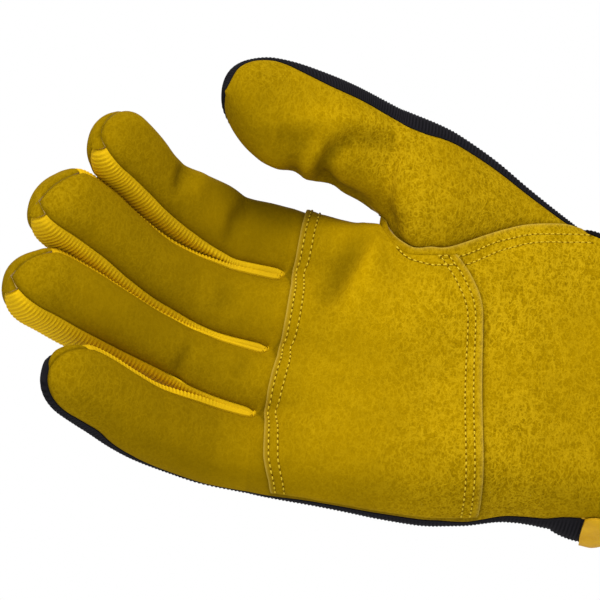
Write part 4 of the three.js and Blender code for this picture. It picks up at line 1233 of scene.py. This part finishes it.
def cuff_surface(distance, x):
    distance, x = np.broadcast_arrays(np.asarray(distance, float), np.asarray(x, float))
    around = np.interp(distance, CUFF_RUN, AROUND)
    front = palm_point(x, np.abs(around), "front")
    back = palm_point(x, np.abs(around), "back")
    return np.where((around < 0)[..., None], front, back)


def cuff_run():
    front = palm_point(STRAP_MIDDLE_X, np.abs(AROUND), "front")
    back = palm_point(STRAP_MIDDLE_X, np.abs(AROUND), "back")
    points = np.where((AROUND < 0)[:, None], front, back)
    run = run_along(points)
    return run - np.interp(-OUTER_SEAM_SHARE, AROUND, run)


CUFF_RUN = cuff_run()


def cuff_normal(distance, x):
    around = cuff_surface(distance + 0.4, x) - cuff_surface(distance - 0.4, x)
    along = cuff_surface(distance, x + 0.4) - cuff_surface(distance, x - 0.4)
    normal = np.cross(along, around)
    return unit(normal)


def strap_edges(distance):
    share = (distance - STRAP_START) / (STRAP_END - STRAP_START)
    return curve(STRAP_EDGES, share, "left", "share"), curve(STRAP_EDGES, share, "right", "share")


def build_strap():
    margin = BINDING_WIDTH * 0.6
    distance = np.linspace(STRAP_START + margin, STRAP_END - margin, 180)
    across = np.linspace(0, 1, 49)
    left, right = strap_edges(distance)
    x = mix((left + margin)[:, None], (right - margin)[:, None], across[None])
    grid = cuff_surface(distance[:, None], x)
    start, end = end_distance(grid, 1)
    top, bottom = end_distance(grid, 0)
    gap = np.minimum(np.minimum(start, end), np.minimum(top, bottom))
    surface = Surface()
    surface.add(grid, flip=True, gap=gap, shade=1.0)
    surface.weld()
    gap = surface.values["gap"]
    flare = fold_relief(surface.p)
    relief = STRAP_LIFT + STRAP_HEIGHT * mix(0.55, 1.0, smooth(gap / 5)) + 0.2 * waves(surface.p, 18, 11)
    return sheet_object("strap_leather", surface, relief + flare, STRAP_LIFT * 0.7 + flare)


def strap_outline():
    half = BINDING_WIDTH / 2
    distance = np.linspace(STRAP_START + half, STRAP_END - half, 200)
    left, right = strap_edges(distance)
    first = np.stack([distance, left + half], axis=1)
    second = np.stack([distance, right - half], axis=1)[::-1]
    cap = np.linspace(first[-1], second[0], 24)[1:-1]
    close = np.linspace(second[-1], first[0], 48)[1:-1]
    loop = np.concatenate([first, cap, second, close])
    closed = np.concatenate([loop, loop[:1]])
    run = run_along(closed)
    even = np.linspace(0, run[-1], 421)[:-1]
    loop = np.stack([np.interp(even, run, closed[:, i]) for i in range(2)], axis=1)
    for _ in range(14):
        loop = 0.5 * loop + 0.25 * (np.roll(loop, 1, axis=0) + np.roll(loop, -1, axis=0))
    return loop


def build_binding():
    loop = strap_outline()
    base = cuff_surface(loop[:, 0], loop[:, 1])
    normal = cuff_normal(loop[:, 0], loop[:, 1])
    tangent = unit(np.roll(base, -1, axis=0) - np.roll(base, 1, axis=0))
    side = np.cross(tangent, normal)
    turn = np.linspace(0, 2 * np.pi, 17)[:-1]
    wide = signed_power(np.cos(turn), 0.85) * BINDING_WIDTH / 2
    high = signed_power(np.sin(turn), 0.85) * BINDING_HEIGHT / 2
    lift = fold_relief(base) + STRAP_LIFT + BINDING_HEIGHT / 2 - 0.1
    centre = base + normal * lift[:, None]
    points = centre[:, None] + side[:, None] * wide[:, None] + normal[:, None] * high[:, None]
    rows, columns = points.shape[:2]
    index = np.arange(rows * columns).reshape(rows, columns)
    down = np.roll(index, -1, axis=0)
    corners = [index, down, np.roll(down, -1, axis=1), np.roll(index, -1, axis=1)]
    quads = np.stack(corners, axis=-1).reshape(-1, 4)
    flat = points.reshape(-1, 3)
    flat = flat + 0.12 * waves(flat, 7, 12)[:, None] * np.repeat(normal, columns, axis=0)
    none = np.zeros((0, 3), int)
    return mesh_object("strap_roll", flat, quads, none, [], {"shade": np.ones(len(flat))}, {})


# Evenly spaced places on a line, their running lengths, and the running lengths of the line's own points
def even_line(points, pitch):
    run = run_along(points)
    at = np.arange(pitch / 2, run[-1], pitch)
    return np.stack([np.interp(at, run, points[:, i]) for i in range(3)], axis=1), at, run


# Places on the front of the hand, and the direction away from it
def palm_line(row, column):
    place_at = lambda row, column: palm_surface(row, column, "front")
    by_row = place_at(row + 0.02, column) - place_at(row - 0.02, column)
    by_column = place_at(row, column + 0.05) - place_at(row, column - 0.05)
    normal = unit(np.cross(by_row, by_column))
    return place_at(row, column), np.where(normal[:, 1:2] > 0, -normal, normal)


def row_at_distance(columns, first_row, millimetres, direction):
    rows = first_row + direction * np.linspace(0, 2.5, 101)
    grid = palm_surface(rows[:, None], columns[None], "front")
    run, _ = end_distance(grid, 0)
    return np.array([np.interp(millimetres, run[:, i], rows) for i in range(len(columns))])


def column_at_distance(rows, millimetres):
    millimetres = np.broadcast_to(millimetres, rows.shape)
    columns = np.linspace(27, 20, 141)
    grid = palm_surface(rows[:, None], columns[None], "front")
    run = end_distance(grid, 1)[0] + SIDE_BAND_WIDTH
    return np.array([np.interp(millimetres[i], run[i], columns) for i in range(len(rows))])


# Stitch rows along the patch's two cut edges, and beside the thumb on the palm and on the patch
def stitch_lines():
    lines = []
    columns = np.linspace(1.0, 26.6, 320)
    edges = [(1.0, inset, 1) for inset in LEFT_STITCHES]
    edges += [(float(PATCH_ROW), inset, -1) for inset in RIGHT_STITCHES]
    for first_row, inset, direction in edges:
        rows = row_at_distance(columns, first_row, inset, direction)
        lines.append((*palm_line(rows, columns), PATCH_LIFT + PATCH_HEIGHT))
    for inset in THUMB_STITCHES:
        rows = np.linspace(PATCH_ROW - 0.1, THUMB_START_ROW - 0.3, 160)
        lines.append((*palm_line(rows, column_at_distance(rows, inset)), overlap_lift(inset)))
    for first_row, first_inset, last_inset in ((5.1, 4.4, 7.6), (7.0, 4.4, 4.2)):
        rows = np.linspace(first_row, PATCH_ROW - 0.35, 80)
        insets = np.interp(rows, [5.1, 6.6, PATCH_ROW], [first_inset, last_inset, last_inset])
        lift = PATCH_LIFT + PATCH_HEIGHT + 0.9 * overlap_lift(insets)
        lines.append((*palm_line(rows, column_at_distance(rows, insets)), lift))
    return lines


def build_stitches():
    points, out, along = [], [], []
    for line, normal, lift in stitch_lines():
        lifted = line + normal * (lift + fold_relief(line) + hide_waves(line))[:, None]
        spots, at, run = even_line(lifted, STITCH_PITCH)
        aim = np.stack([np.interp(at, run, normal[:, i]) for i in range(3)], axis=1)
        points.append(spots)
        out.append(unit(aim))
        along.append(unit(np.gradient(spots, axis=0)))
    points, out, along = map(np.concatenate, (points, out, along))
    mesh = bpy.data.meshes.new("stitches")
    mesh.from_pydata((points * MM).tolist(), [], [])
    for key, array in (("out", out), ("along", along)):
        data = mesh.attributes.new(key, "FLOAT_VECTOR", "POINT").data
        data.foreach_set("vector", array.astype(np.float32).ravel())
    return add_object("stitches", mesh)


# Adds nodes to one tree. An input is filled with a plain value, a colour or another node's output.
class Nodes:
    def __init__(self, tree):
        self.tree = tree

    def fill(self, sockets, values):
        for key, value in values.items():
            if isinstance(value, bpy.types.NodeSocket):
                self.tree.links.new(value, sockets[key])
            elif sockets[key].type == "RGBA":
                sockets[key].default_value = (*value, 1.0)
            else:
                sockets[key].default_value = value

    def add(self, kind, inputs=None, **settings):
        node = self.tree.nodes.new(kind)
        for name, value in settings.items():
            setattr(node, name, value)
        self.fill(node.inputs, inputs or {})
        return node

    def math(self, operation, *values):
        return self.add("ShaderNodeMath", dict(enumerate(values)), operation=operation).outputs[0]

    def times(self, first, second):
        return self.math("MULTIPLY", first, second)

    def plus(self, first, second):
        return self.math("ADD", first, second)

    def object_place(self):
        return self.add("ShaderNodeTexCoord").outputs["Object"]

    def noise(self, where, scale, detail, roughness):
        inputs = {"Vector": where, "Scale": scale, "Detail": detail, "Roughness": roughness}
        return self.add("ShaderNodeTexNoise", inputs).outputs["Fac"]

    def spread(self, value, low, high, to_low=0.0, to_high=1.0):
        inputs = {"Value": value, "From Min": low, "From Max": high, "To Min": to_low, "To Max": to_high}
        return self.add("ShaderNodeMapRange", inputs).outputs["Result"]

    def blend(self, factor, first, second, kind="MIX"):
        inputs = {0: factor, 6: first, 7: second}
        return self.add("ShaderNodeMix", inputs, data_type="RGBA", blend_type=kind).outputs[2]

    def tone(self, colour, value):
        return self.add("ShaderNodeHueSaturation", {"Color": colour, "Value": value}).outputs["Color"]

    def bump(self, height, strength, distance):
        inputs = {"Height": height, "Strength": strength, "Distance": distance}
        return self.add("ShaderNodeBump", inputs).outputs["Normal"]

    def attribute(self, name):
        return self.add("ShaderNodeAttribute", attribute_name=name).outputs["Fac"]

    def named_value(self, name, kind="FLOAT"):
        node = self.add("GeometryNodeInputNamedAttribute", {"Name": name}, data_type=kind)
        return node.outputs["Attribute"]


# New node group. Returns its nodes, what comes in and what goes out.
def new_tree(name, kind, inputs, outputs):
    tree = bpy.data.node_groups.new(name, kind)
    for way, sockets in (("INPUT", inputs), ("OUTPUT", outputs)):
        for label, socket in sockets.items():
            tree.interface.new_socket(label, in_out=way, socket_type="NodeSocket" + socket)
    return Nodes(tree), tree.nodes.new("NodeGroupInput").outputs, tree.nodes.new("NodeGroupOutput").inputs


def geometry_tree(name, inputs):
    return new_tree(name, "GeometryNodeTree", {"Geometry": "Geometry", **inputs}, {"Geometry": "Geometry"})


# Moves points out and in along their normals, for the ribs of the knit.
def rib_tree():
    nodes, source, target = geometry_tree("raise_ribs", {"Height": "Float"})
    wave = nodes.math("COSINE", nodes.times(nodes.named_value("rib_phase"), 2 * math.pi))
    size = nodes.times(nodes.times(wave, nodes.named_value("rib_weight")), source["Height"])
    normal = nodes.add("GeometryNodeInputNormal").outputs[0]
    offset = nodes.add("ShaderNodeVectorMath", {0: normal}, operation="SCALE")
    nodes.fill(offset.inputs, {"Scale": size})
    moved = {"Geometry": source["Geometry"], "Offset": offset.outputs[0]}
    move = nodes.add("GeometryNodeSetPosition", moved)
    nodes.fill(target, {"Geometry": move.outputs["Geometry"]})
    return nodes.tree


# One small bead, for a stitch or for the painted shadow of the needle hole beside it
def thread_bead(nodes, size, offset, material):
    sphere = nodes.add("GeometryNodeMeshUVSphere", {"Segments": 8, "Rings": 6, "Radius": 0.5})
    inputs = {
        "Geometry": sphere.outputs["Mesh"],
        "Scale": [value * MM for value in size],
        "Translation": [value * MM for value in offset],
    }
    shape = nodes.add("GeometryNodeTransform", inputs)
    painted = {"Geometry": shape.outputs["Geometry"], "Material": material}
    return nodes.add("GeometryNodeSetMaterial", painted).outputs["Geometry"]


# Lays a thread and a dark bead of painted shadow for the needle hole on each point, turned along the row of
# stitches.
def stitch_tree():
    nodes, source, target = geometry_tree("sew_stitches", {"Thread": "Material", "Hole": "Material"})
    join = nodes.add("GeometryNodeJoinGeometry")
    hole_shadow = thread_bead(nodes, (0.8, 0.62, 0.34), (STITCH_PITCH / 2, 0, 0.0), source["Hole"])
    thread = thread_bead(nodes, (1.45, 0.58, 0.5), (0, 0, 0.06), source["Thread"])
    nodes.fill(join.inputs, {"Geometry": hole_shadow})
    nodes.fill(join.inputs, {"Geometry": thread})
    aims = {
        "Primary Axis": nodes.named_value("out", "FLOAT_VECTOR"),
        "Secondary Axis": nodes.named_value("along", "FLOAT_VECTOR"),
    }
    turn = nodes.add("FunctionNodeAxesToRotation", aims, primary_axis="Z", secondary_axis="X")
    copies = {
        "Points": source["Geometry"],
        "Instance": join.outputs["Geometry"],
        "Rotation": turn.outputs["Rotation"],
    }
    repeat = nodes.add("GeometryNodeInstanceOnPoints", copies)
    real = nodes.add("GeometryNodeRealizeInstances", {"Geometry": repeat.outputs["Instances"]})
    even = nodes.add("GeometryNodeSetShadeSmooth", {"Geometry": real.outputs["Geometry"]})
    nodes.fill(target, {"Geometry": even.outputs["Geometry"]})
    return nodes.tree


# Runs a node tree on an object and keeps the result as a plain mesh.
def apply_tree(made, tree, values):
    modifier = made.modifiers.new(tree.name, "NODES")
    modifier.node_group = tree
    for item in tree.interface.items_tree:
        if item.item_type == "SOCKET" and item.in_out == "INPUT" and item.name in values:
            modifier[item.identifier] = values[item.name]
    bpy.context.view_layer.update()
    evaluated = made.evaluated_get(bpy.context.evaluated_depsgraph_get())
    mesh = bpy.data.meshes.new_from_object(evaluated)
    made.modifiers.clear()
    made.data = mesh
    return made


# Curly light threads where a noise crosses its middle value
def strands(nodes, where, scale):
    away = nodes.math("ABSOLUTE", nodes.math("SUBTRACT", nodes.noise(where, scale, 1.5, 0.5), 0.5))
    return nodes.spread(away, 0.0, 0.055, 1.0, 0.0)


# Nap of split leather: fine speckle, brushed flecks, curly fibres and slow mottling
def nap_group():
    inputs = {"Dark": "Color", "Middle": "Color", "Light": "Color", "Roughness": "Float"}
    outputs = {"Color": "Color", "Height": "Float"}
    nodes, source, target = new_tree("suede_nap", "ShaderNodeTree", inputs, outputs)
    where = nodes.object_place()
    stretch = {"Vector": where, "Rotation": (0.3, 0.2, 0.5), "Scale": (1.0, 1.0, 0.45)}
    stretched = nodes.add("ShaderNodeMapping", stretch).outputs[0]
    grain = nodes.noise(where, 1500, 3.0, 0.65)
    flecks = nodes.noise(stretched, 900, 2.0, 0.6)
    brushed = nodes.noise(where, 150, 4.0, 0.6)
    mottle = nodes.noise(where, 38, 3.0, 0.5)
    patches = nodes.spread(nodes.noise(where, 24, 2.0, 0.5), 0.35, 0.6, 0.45, 1.0)
    rough = nodes.times(patches, source["Roughness"])
    fine = nodes.plus(nodes.times(grain, 0.6), nodes.times(flecks, 0.4))
    fine = nodes.plus(nodes.times(nodes.math("SUBTRACT", fine, 0.5), rough), 0.5)
    slow = nodes.plus(nodes.times(brushed, 0.3), nodes.times(mottle, 0.7))
    colour = nodes.blend(nodes.spread(fine, 0.33, 0.51), source["Dark"], source["Middle"])
    colour = nodes.blend(nodes.spread(fine, 0.51, 0.66), colour, source["Light"])
    fibres = nodes.math("MAXIMUM", strands(nodes, where, 330), strands(nodes, stretched, 470))
    fibres = nodes.times(fibres, rough)
    colour = nodes.blend(nodes.times(fibres, 0.75), colour, source["Light"])
    colour = nodes.tone(colour, nodes.spread(slow, 0.34, 0.66, 0.92, 1.07))
    height = nodes.plus(nodes.times(fine, 0.8), nodes.times(fibres, 0.3))
    nodes.fill(target, {"Color": colour, "Height": height})
    return nodes.tree


NAP = nap_group()
RIM_COLOUR = (0.48, 0.34, 0.06)
CUT_COLOUR = (0.40, 0.28, 0.10)


# Returns the material, its nodes and the inputs of its shader.
def new_material(name):
    material = bpy.data.materials.new(name)
    material.use_nodes = True
    nodes = Nodes(material.node_tree)
    return material, nodes, nodes.tree.nodes["Principled BSDF"].inputs


def suede(name, dark, middle, light):
    material, nodes, shader = new_material(name)
    nap = nodes.add("ShaderNodeGroup", node_tree=NAP)
    inputs = {"Dark": dark, "Middle": middle, "Light": light, "Roughness": nodes.attribute("grain")}
    nodes.fill(nap.inputs, inputs)
    # The painted shade and highlight that the meshes carry multiply the nap's colour.
    shade = nodes.attribute("shade")
    grey = nodes.add("ShaderNodeCombineColor", {0: shade, 1: shade, 2: shade}).outputs[0]
    colour = nodes.blend(1.0, nap.outputs["Color"], grey, "MULTIPLY")
    colour = nodes.blend(nodes.times(nodes.attribute("rim"), 0.5), colour, RIM_COLOUR)
    colour = nodes.blend(nodes.attribute("cut"), colour, CUT_COLOUR)
    normal = nodes.bump(nap.outputs["Height"], 0.55, 0.0006)
    look = {"Base Color": colour, "Roughness": 1.0, "Specular IOR Level": 0.02, "Normal": normal}
    nodes.fill(shader, look)
    return material


def knit(name, shaded_valley_colour, lit_ridge_colour, roughness, bump_size):
    material, nodes, shader = new_material(name)
    where = nodes.object_place()
    # Painted shade: the ribs' hollows are painted in the darker colour and their crests in the lighter one.
    wave = nodes.math("COSINE", nodes.times(nodes.attribute("rib_phase"), 2 * math.pi))
    ridge = nodes.times(wave, nodes.attribute("rib_weight"))
    fuzz = nodes.noise(where, 1600, 3.0, 0.6)
    slow = nodes.noise(where, 60, 3.0, 0.5)
    both = nodes.plus(nodes.spread(ridge, -1.0, 1.0, 0.1, 0.9), nodes.times(fuzz, 0.3))
    colour = nodes.blend(nodes.spread(both, 0.15, 1.1), shaded_valley_colour, lit_ridge_colour)
    colour = nodes.tone(colour, nodes.spread(slow, 0.3, 0.7, 0.9, 1.1))
    normal = nodes.bump(fuzz, 0.5, bump_size)
    look = {"Base Color": colour, "Roughness": roughness, "Specular IOR Level": 0.08, "Normal": normal}
    nodes.fill(shader, look)
    return material


def smooth_leather(name, dark, light):
    material, nodes, shader = new_material(name)
    where = nodes.object_place()
    pores = nodes.add("ShaderNodeTexVoronoi", {"Vector": where, "Scale": 900}, feature="SMOOTH_F1")
    slow = nodes.noise(where, 90, 4.0, 0.6)
    look = {
        "Base Color": nodes.blend(nodes.spread(slow, 0.35, 0.65), dark, light),
        "Roughness": nodes.spread(slow, 0.3, 0.7, 0.42, 0.58),
        "Specular IOR Level": 0.1,
        "Normal": nodes.bump(pores.outputs["Distance"], 0.25, 0.0003),
    }
    nodes.fill(shader, look)
    return material


def plain_thread(name, dark, light):
    material, nodes, shader = new_material(name)
    twist = nodes.noise(nodes.object_place(), 2500, 2.0, 0.5)
    colour = nodes.blend(nodes.spread(twist, 0.35, 0.65), dark, light)
    nodes.fill(shader, {"Base Color": colour, "Roughness": 0.9, "Specular IOR Level": 0.05})
    return material


LIGHT_FIBRE = (0.47, 0.300, 0.004)
SUEDE = suede("mustard_suede", (0.170, 0.099, 0.0), (0.298, 0.178, 0.0), LIGHT_FIBRE)
PATCH_SUEDE = suede("mustard_suede_patch", (0.178, 0.103, 0.0), (0.306, 0.183, 0.0), LIGHT_FIBRE)
BLACK_KNIT = knit("black_knit", (0.002, 0.002, 0.003), (0.011, 0.010, 0.013), 0.9, 0.0002)
YELLOW_RIB = knit("yellow_ribbing", (0.44, 0.25, 0.0), (0.66, 0.42, 0.002), 0.8, 0.0002)
STRAP = smooth_leather("yellow_smooth_leather", (0.46, 0.245, 0.004), (0.60, 0.34, 0.008))
THREAD = plain_thread("stitch_thread", (0.46, 0.31, 0.01), (0.62, 0.44, 0.025))
# Painted shadow: the needle holes are dark beads.
HOLE_SHADOW = plain_thread("needle_hole_shadow", (0.12, 0.06, 0.0), (0.17, 0.09, 0.0))


def finish_piece(made, material, node):
    made.data.materials.clear()
    made.data.materials.append(material)
    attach(made, "root")
    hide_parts(node)


RIBS = rib_tree()


def ribbed(made, height):
    return apply_tree(made, RIBS, {"Height": height * MM})


finish_piece(build_palm(), SUEDE, "palm_leather")
finish_piece(build_patch(), PATCH_SUEDE, "palm_patch")
finish_piece(build_thumb_front(), SUEDE, "thumb_leather")
finish_piece(ribbed(build_thumb_back(), KNIT_RIB_HEIGHT), BLACK_KNIT, "thumb_back")
finish_piece(ribbed(build_hand_back(), KNIT_RIB_HEIGHT), BLACK_KNIT, "hand_back")
for f, fingers in enumerate(["ring_pinky", "middle_ring", "index_middle"]):
    strip = ribbed(build_strip(f), STRIP_RIB_HEIGHT)
    finish_piece(strip, YELLOW_RIB, "side_strip_" + fingers)
for finger in FINGERS[1:]:
    finish_piece(build_cap(finger), PATCH_SUEDE, "tip_cap_" + finger["name"])
finish_piece(build_strap(), STRAP, "wrist_strap")
finish_piece(build_binding(), STRAP, "strap_binding")
stitches = apply_tree(build_stitches(), stitch_tree(), {"Thread": THREAD, "Hole": HOLE_SHADOW})
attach(stitches, "root")


# Floor, light and camera
FLOOR_SIZE = 8.0
FLOOR_HEIGHT = -0.6
LIT_PLACE = np.array([-0.14, 0, 0.01])
CAMERA_PLACE = (-0.155, -0.6490, -0.2472)
CAMERA_RIGHT = (0.9903, -0.0521, 0.1290)
CAMERA_UP = (-0.1392, -0.3710, 0.9182)
CAMERA_BACK = (0, -0.9272, -0.3746)


def turned(made, place, right, up, back):
    turn = Matrix((right, up, back)).transposed().to_4x4()
    made.matrix_world = Matrix.Translation(place) @ turn


def area_light(name, location, size, power, colour=(1, 1, 1)):
    data = bpy.data.lights.new(name, "AREA")
    data.shape = "DISK"
    data.size = size
    data.energy = power
    data.color = colour
    back = unit(np.array(location) - LIT_PLACE)
    side = unit(np.cross([0, 0, 1], back))
    turned(add_object(name, data), location, side, np.cross(back, side), back)


bpy.ops.mesh.primitive_plane_add(size=FLOOR_SIZE, location=(0, 0, FLOOR_HEIGHT))
floor = bpy.context.object
floor.name = "floor"
floor_material, floor_nodes, floor_shader = new_material("pale_floor")
white = (1, 1, 1)
floor_look = {"Base Color": (0.85, 0.85, 0.85), "Roughness": 0.8}
floor_nodes.fill(floor_shader, {**floor_look, "Emission Color": white, "Emission Strength": 0.25})
floor.data.materials.append(floor_material)
floor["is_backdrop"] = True

world = bpy.data.worlds.new("studio")
bpy.context.scene.world = world
world.use_nodes = True
world.node_tree.nodes.clear()
sky = Nodes(world.node_tree)
seen = sky.add("ShaderNodeBackground", {"Color": white}).outputs[0]
lit = sky.add("ShaderNodeBackground", {"Color": (0.97, 0.98, 1), "Strength": 0.45}).outputs[0]
to_camera = sky.add("ShaderNodeLightPath").outputs["Is Camera Ray"]
choose = sky.add("ShaderNodeMixShader", {0: to_camera, 1: lit, 2: seen}).outputs[0]
sky.add("ShaderNodeOutputWorld", {"Surface": choose})

area_light("key", (-0.32, -0.75, 0.62), 0.5, 10.5, (1.0, 0.98, 0.95))
area_light("fill", (-0.50, -0.60, -0.20), 0.8, 1.6)
area_light("rim", (-0.2, 0.7, 0.6), 0.8, 5.0)

camera_data = bpy.data.cameras.new("camera")
camera_data.sensor_width = 36
camera_data.lens = 120
camera_data.clip_end = 20
camera = add_object("camera", camera_data)
turned(camera, CAMERA_PLACE, CAMERA_RIGHT, CAMERA_UP, CAMERA_BACK)
bpy.context.scene.camera = camera
bpy.context.scene.view_settings.view_transform = "Standard"


def plain(box):
    return [[float(value) for value in corner] for corner in box]


{"cad": plain(cad_bounds), "visual": plain(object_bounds())}
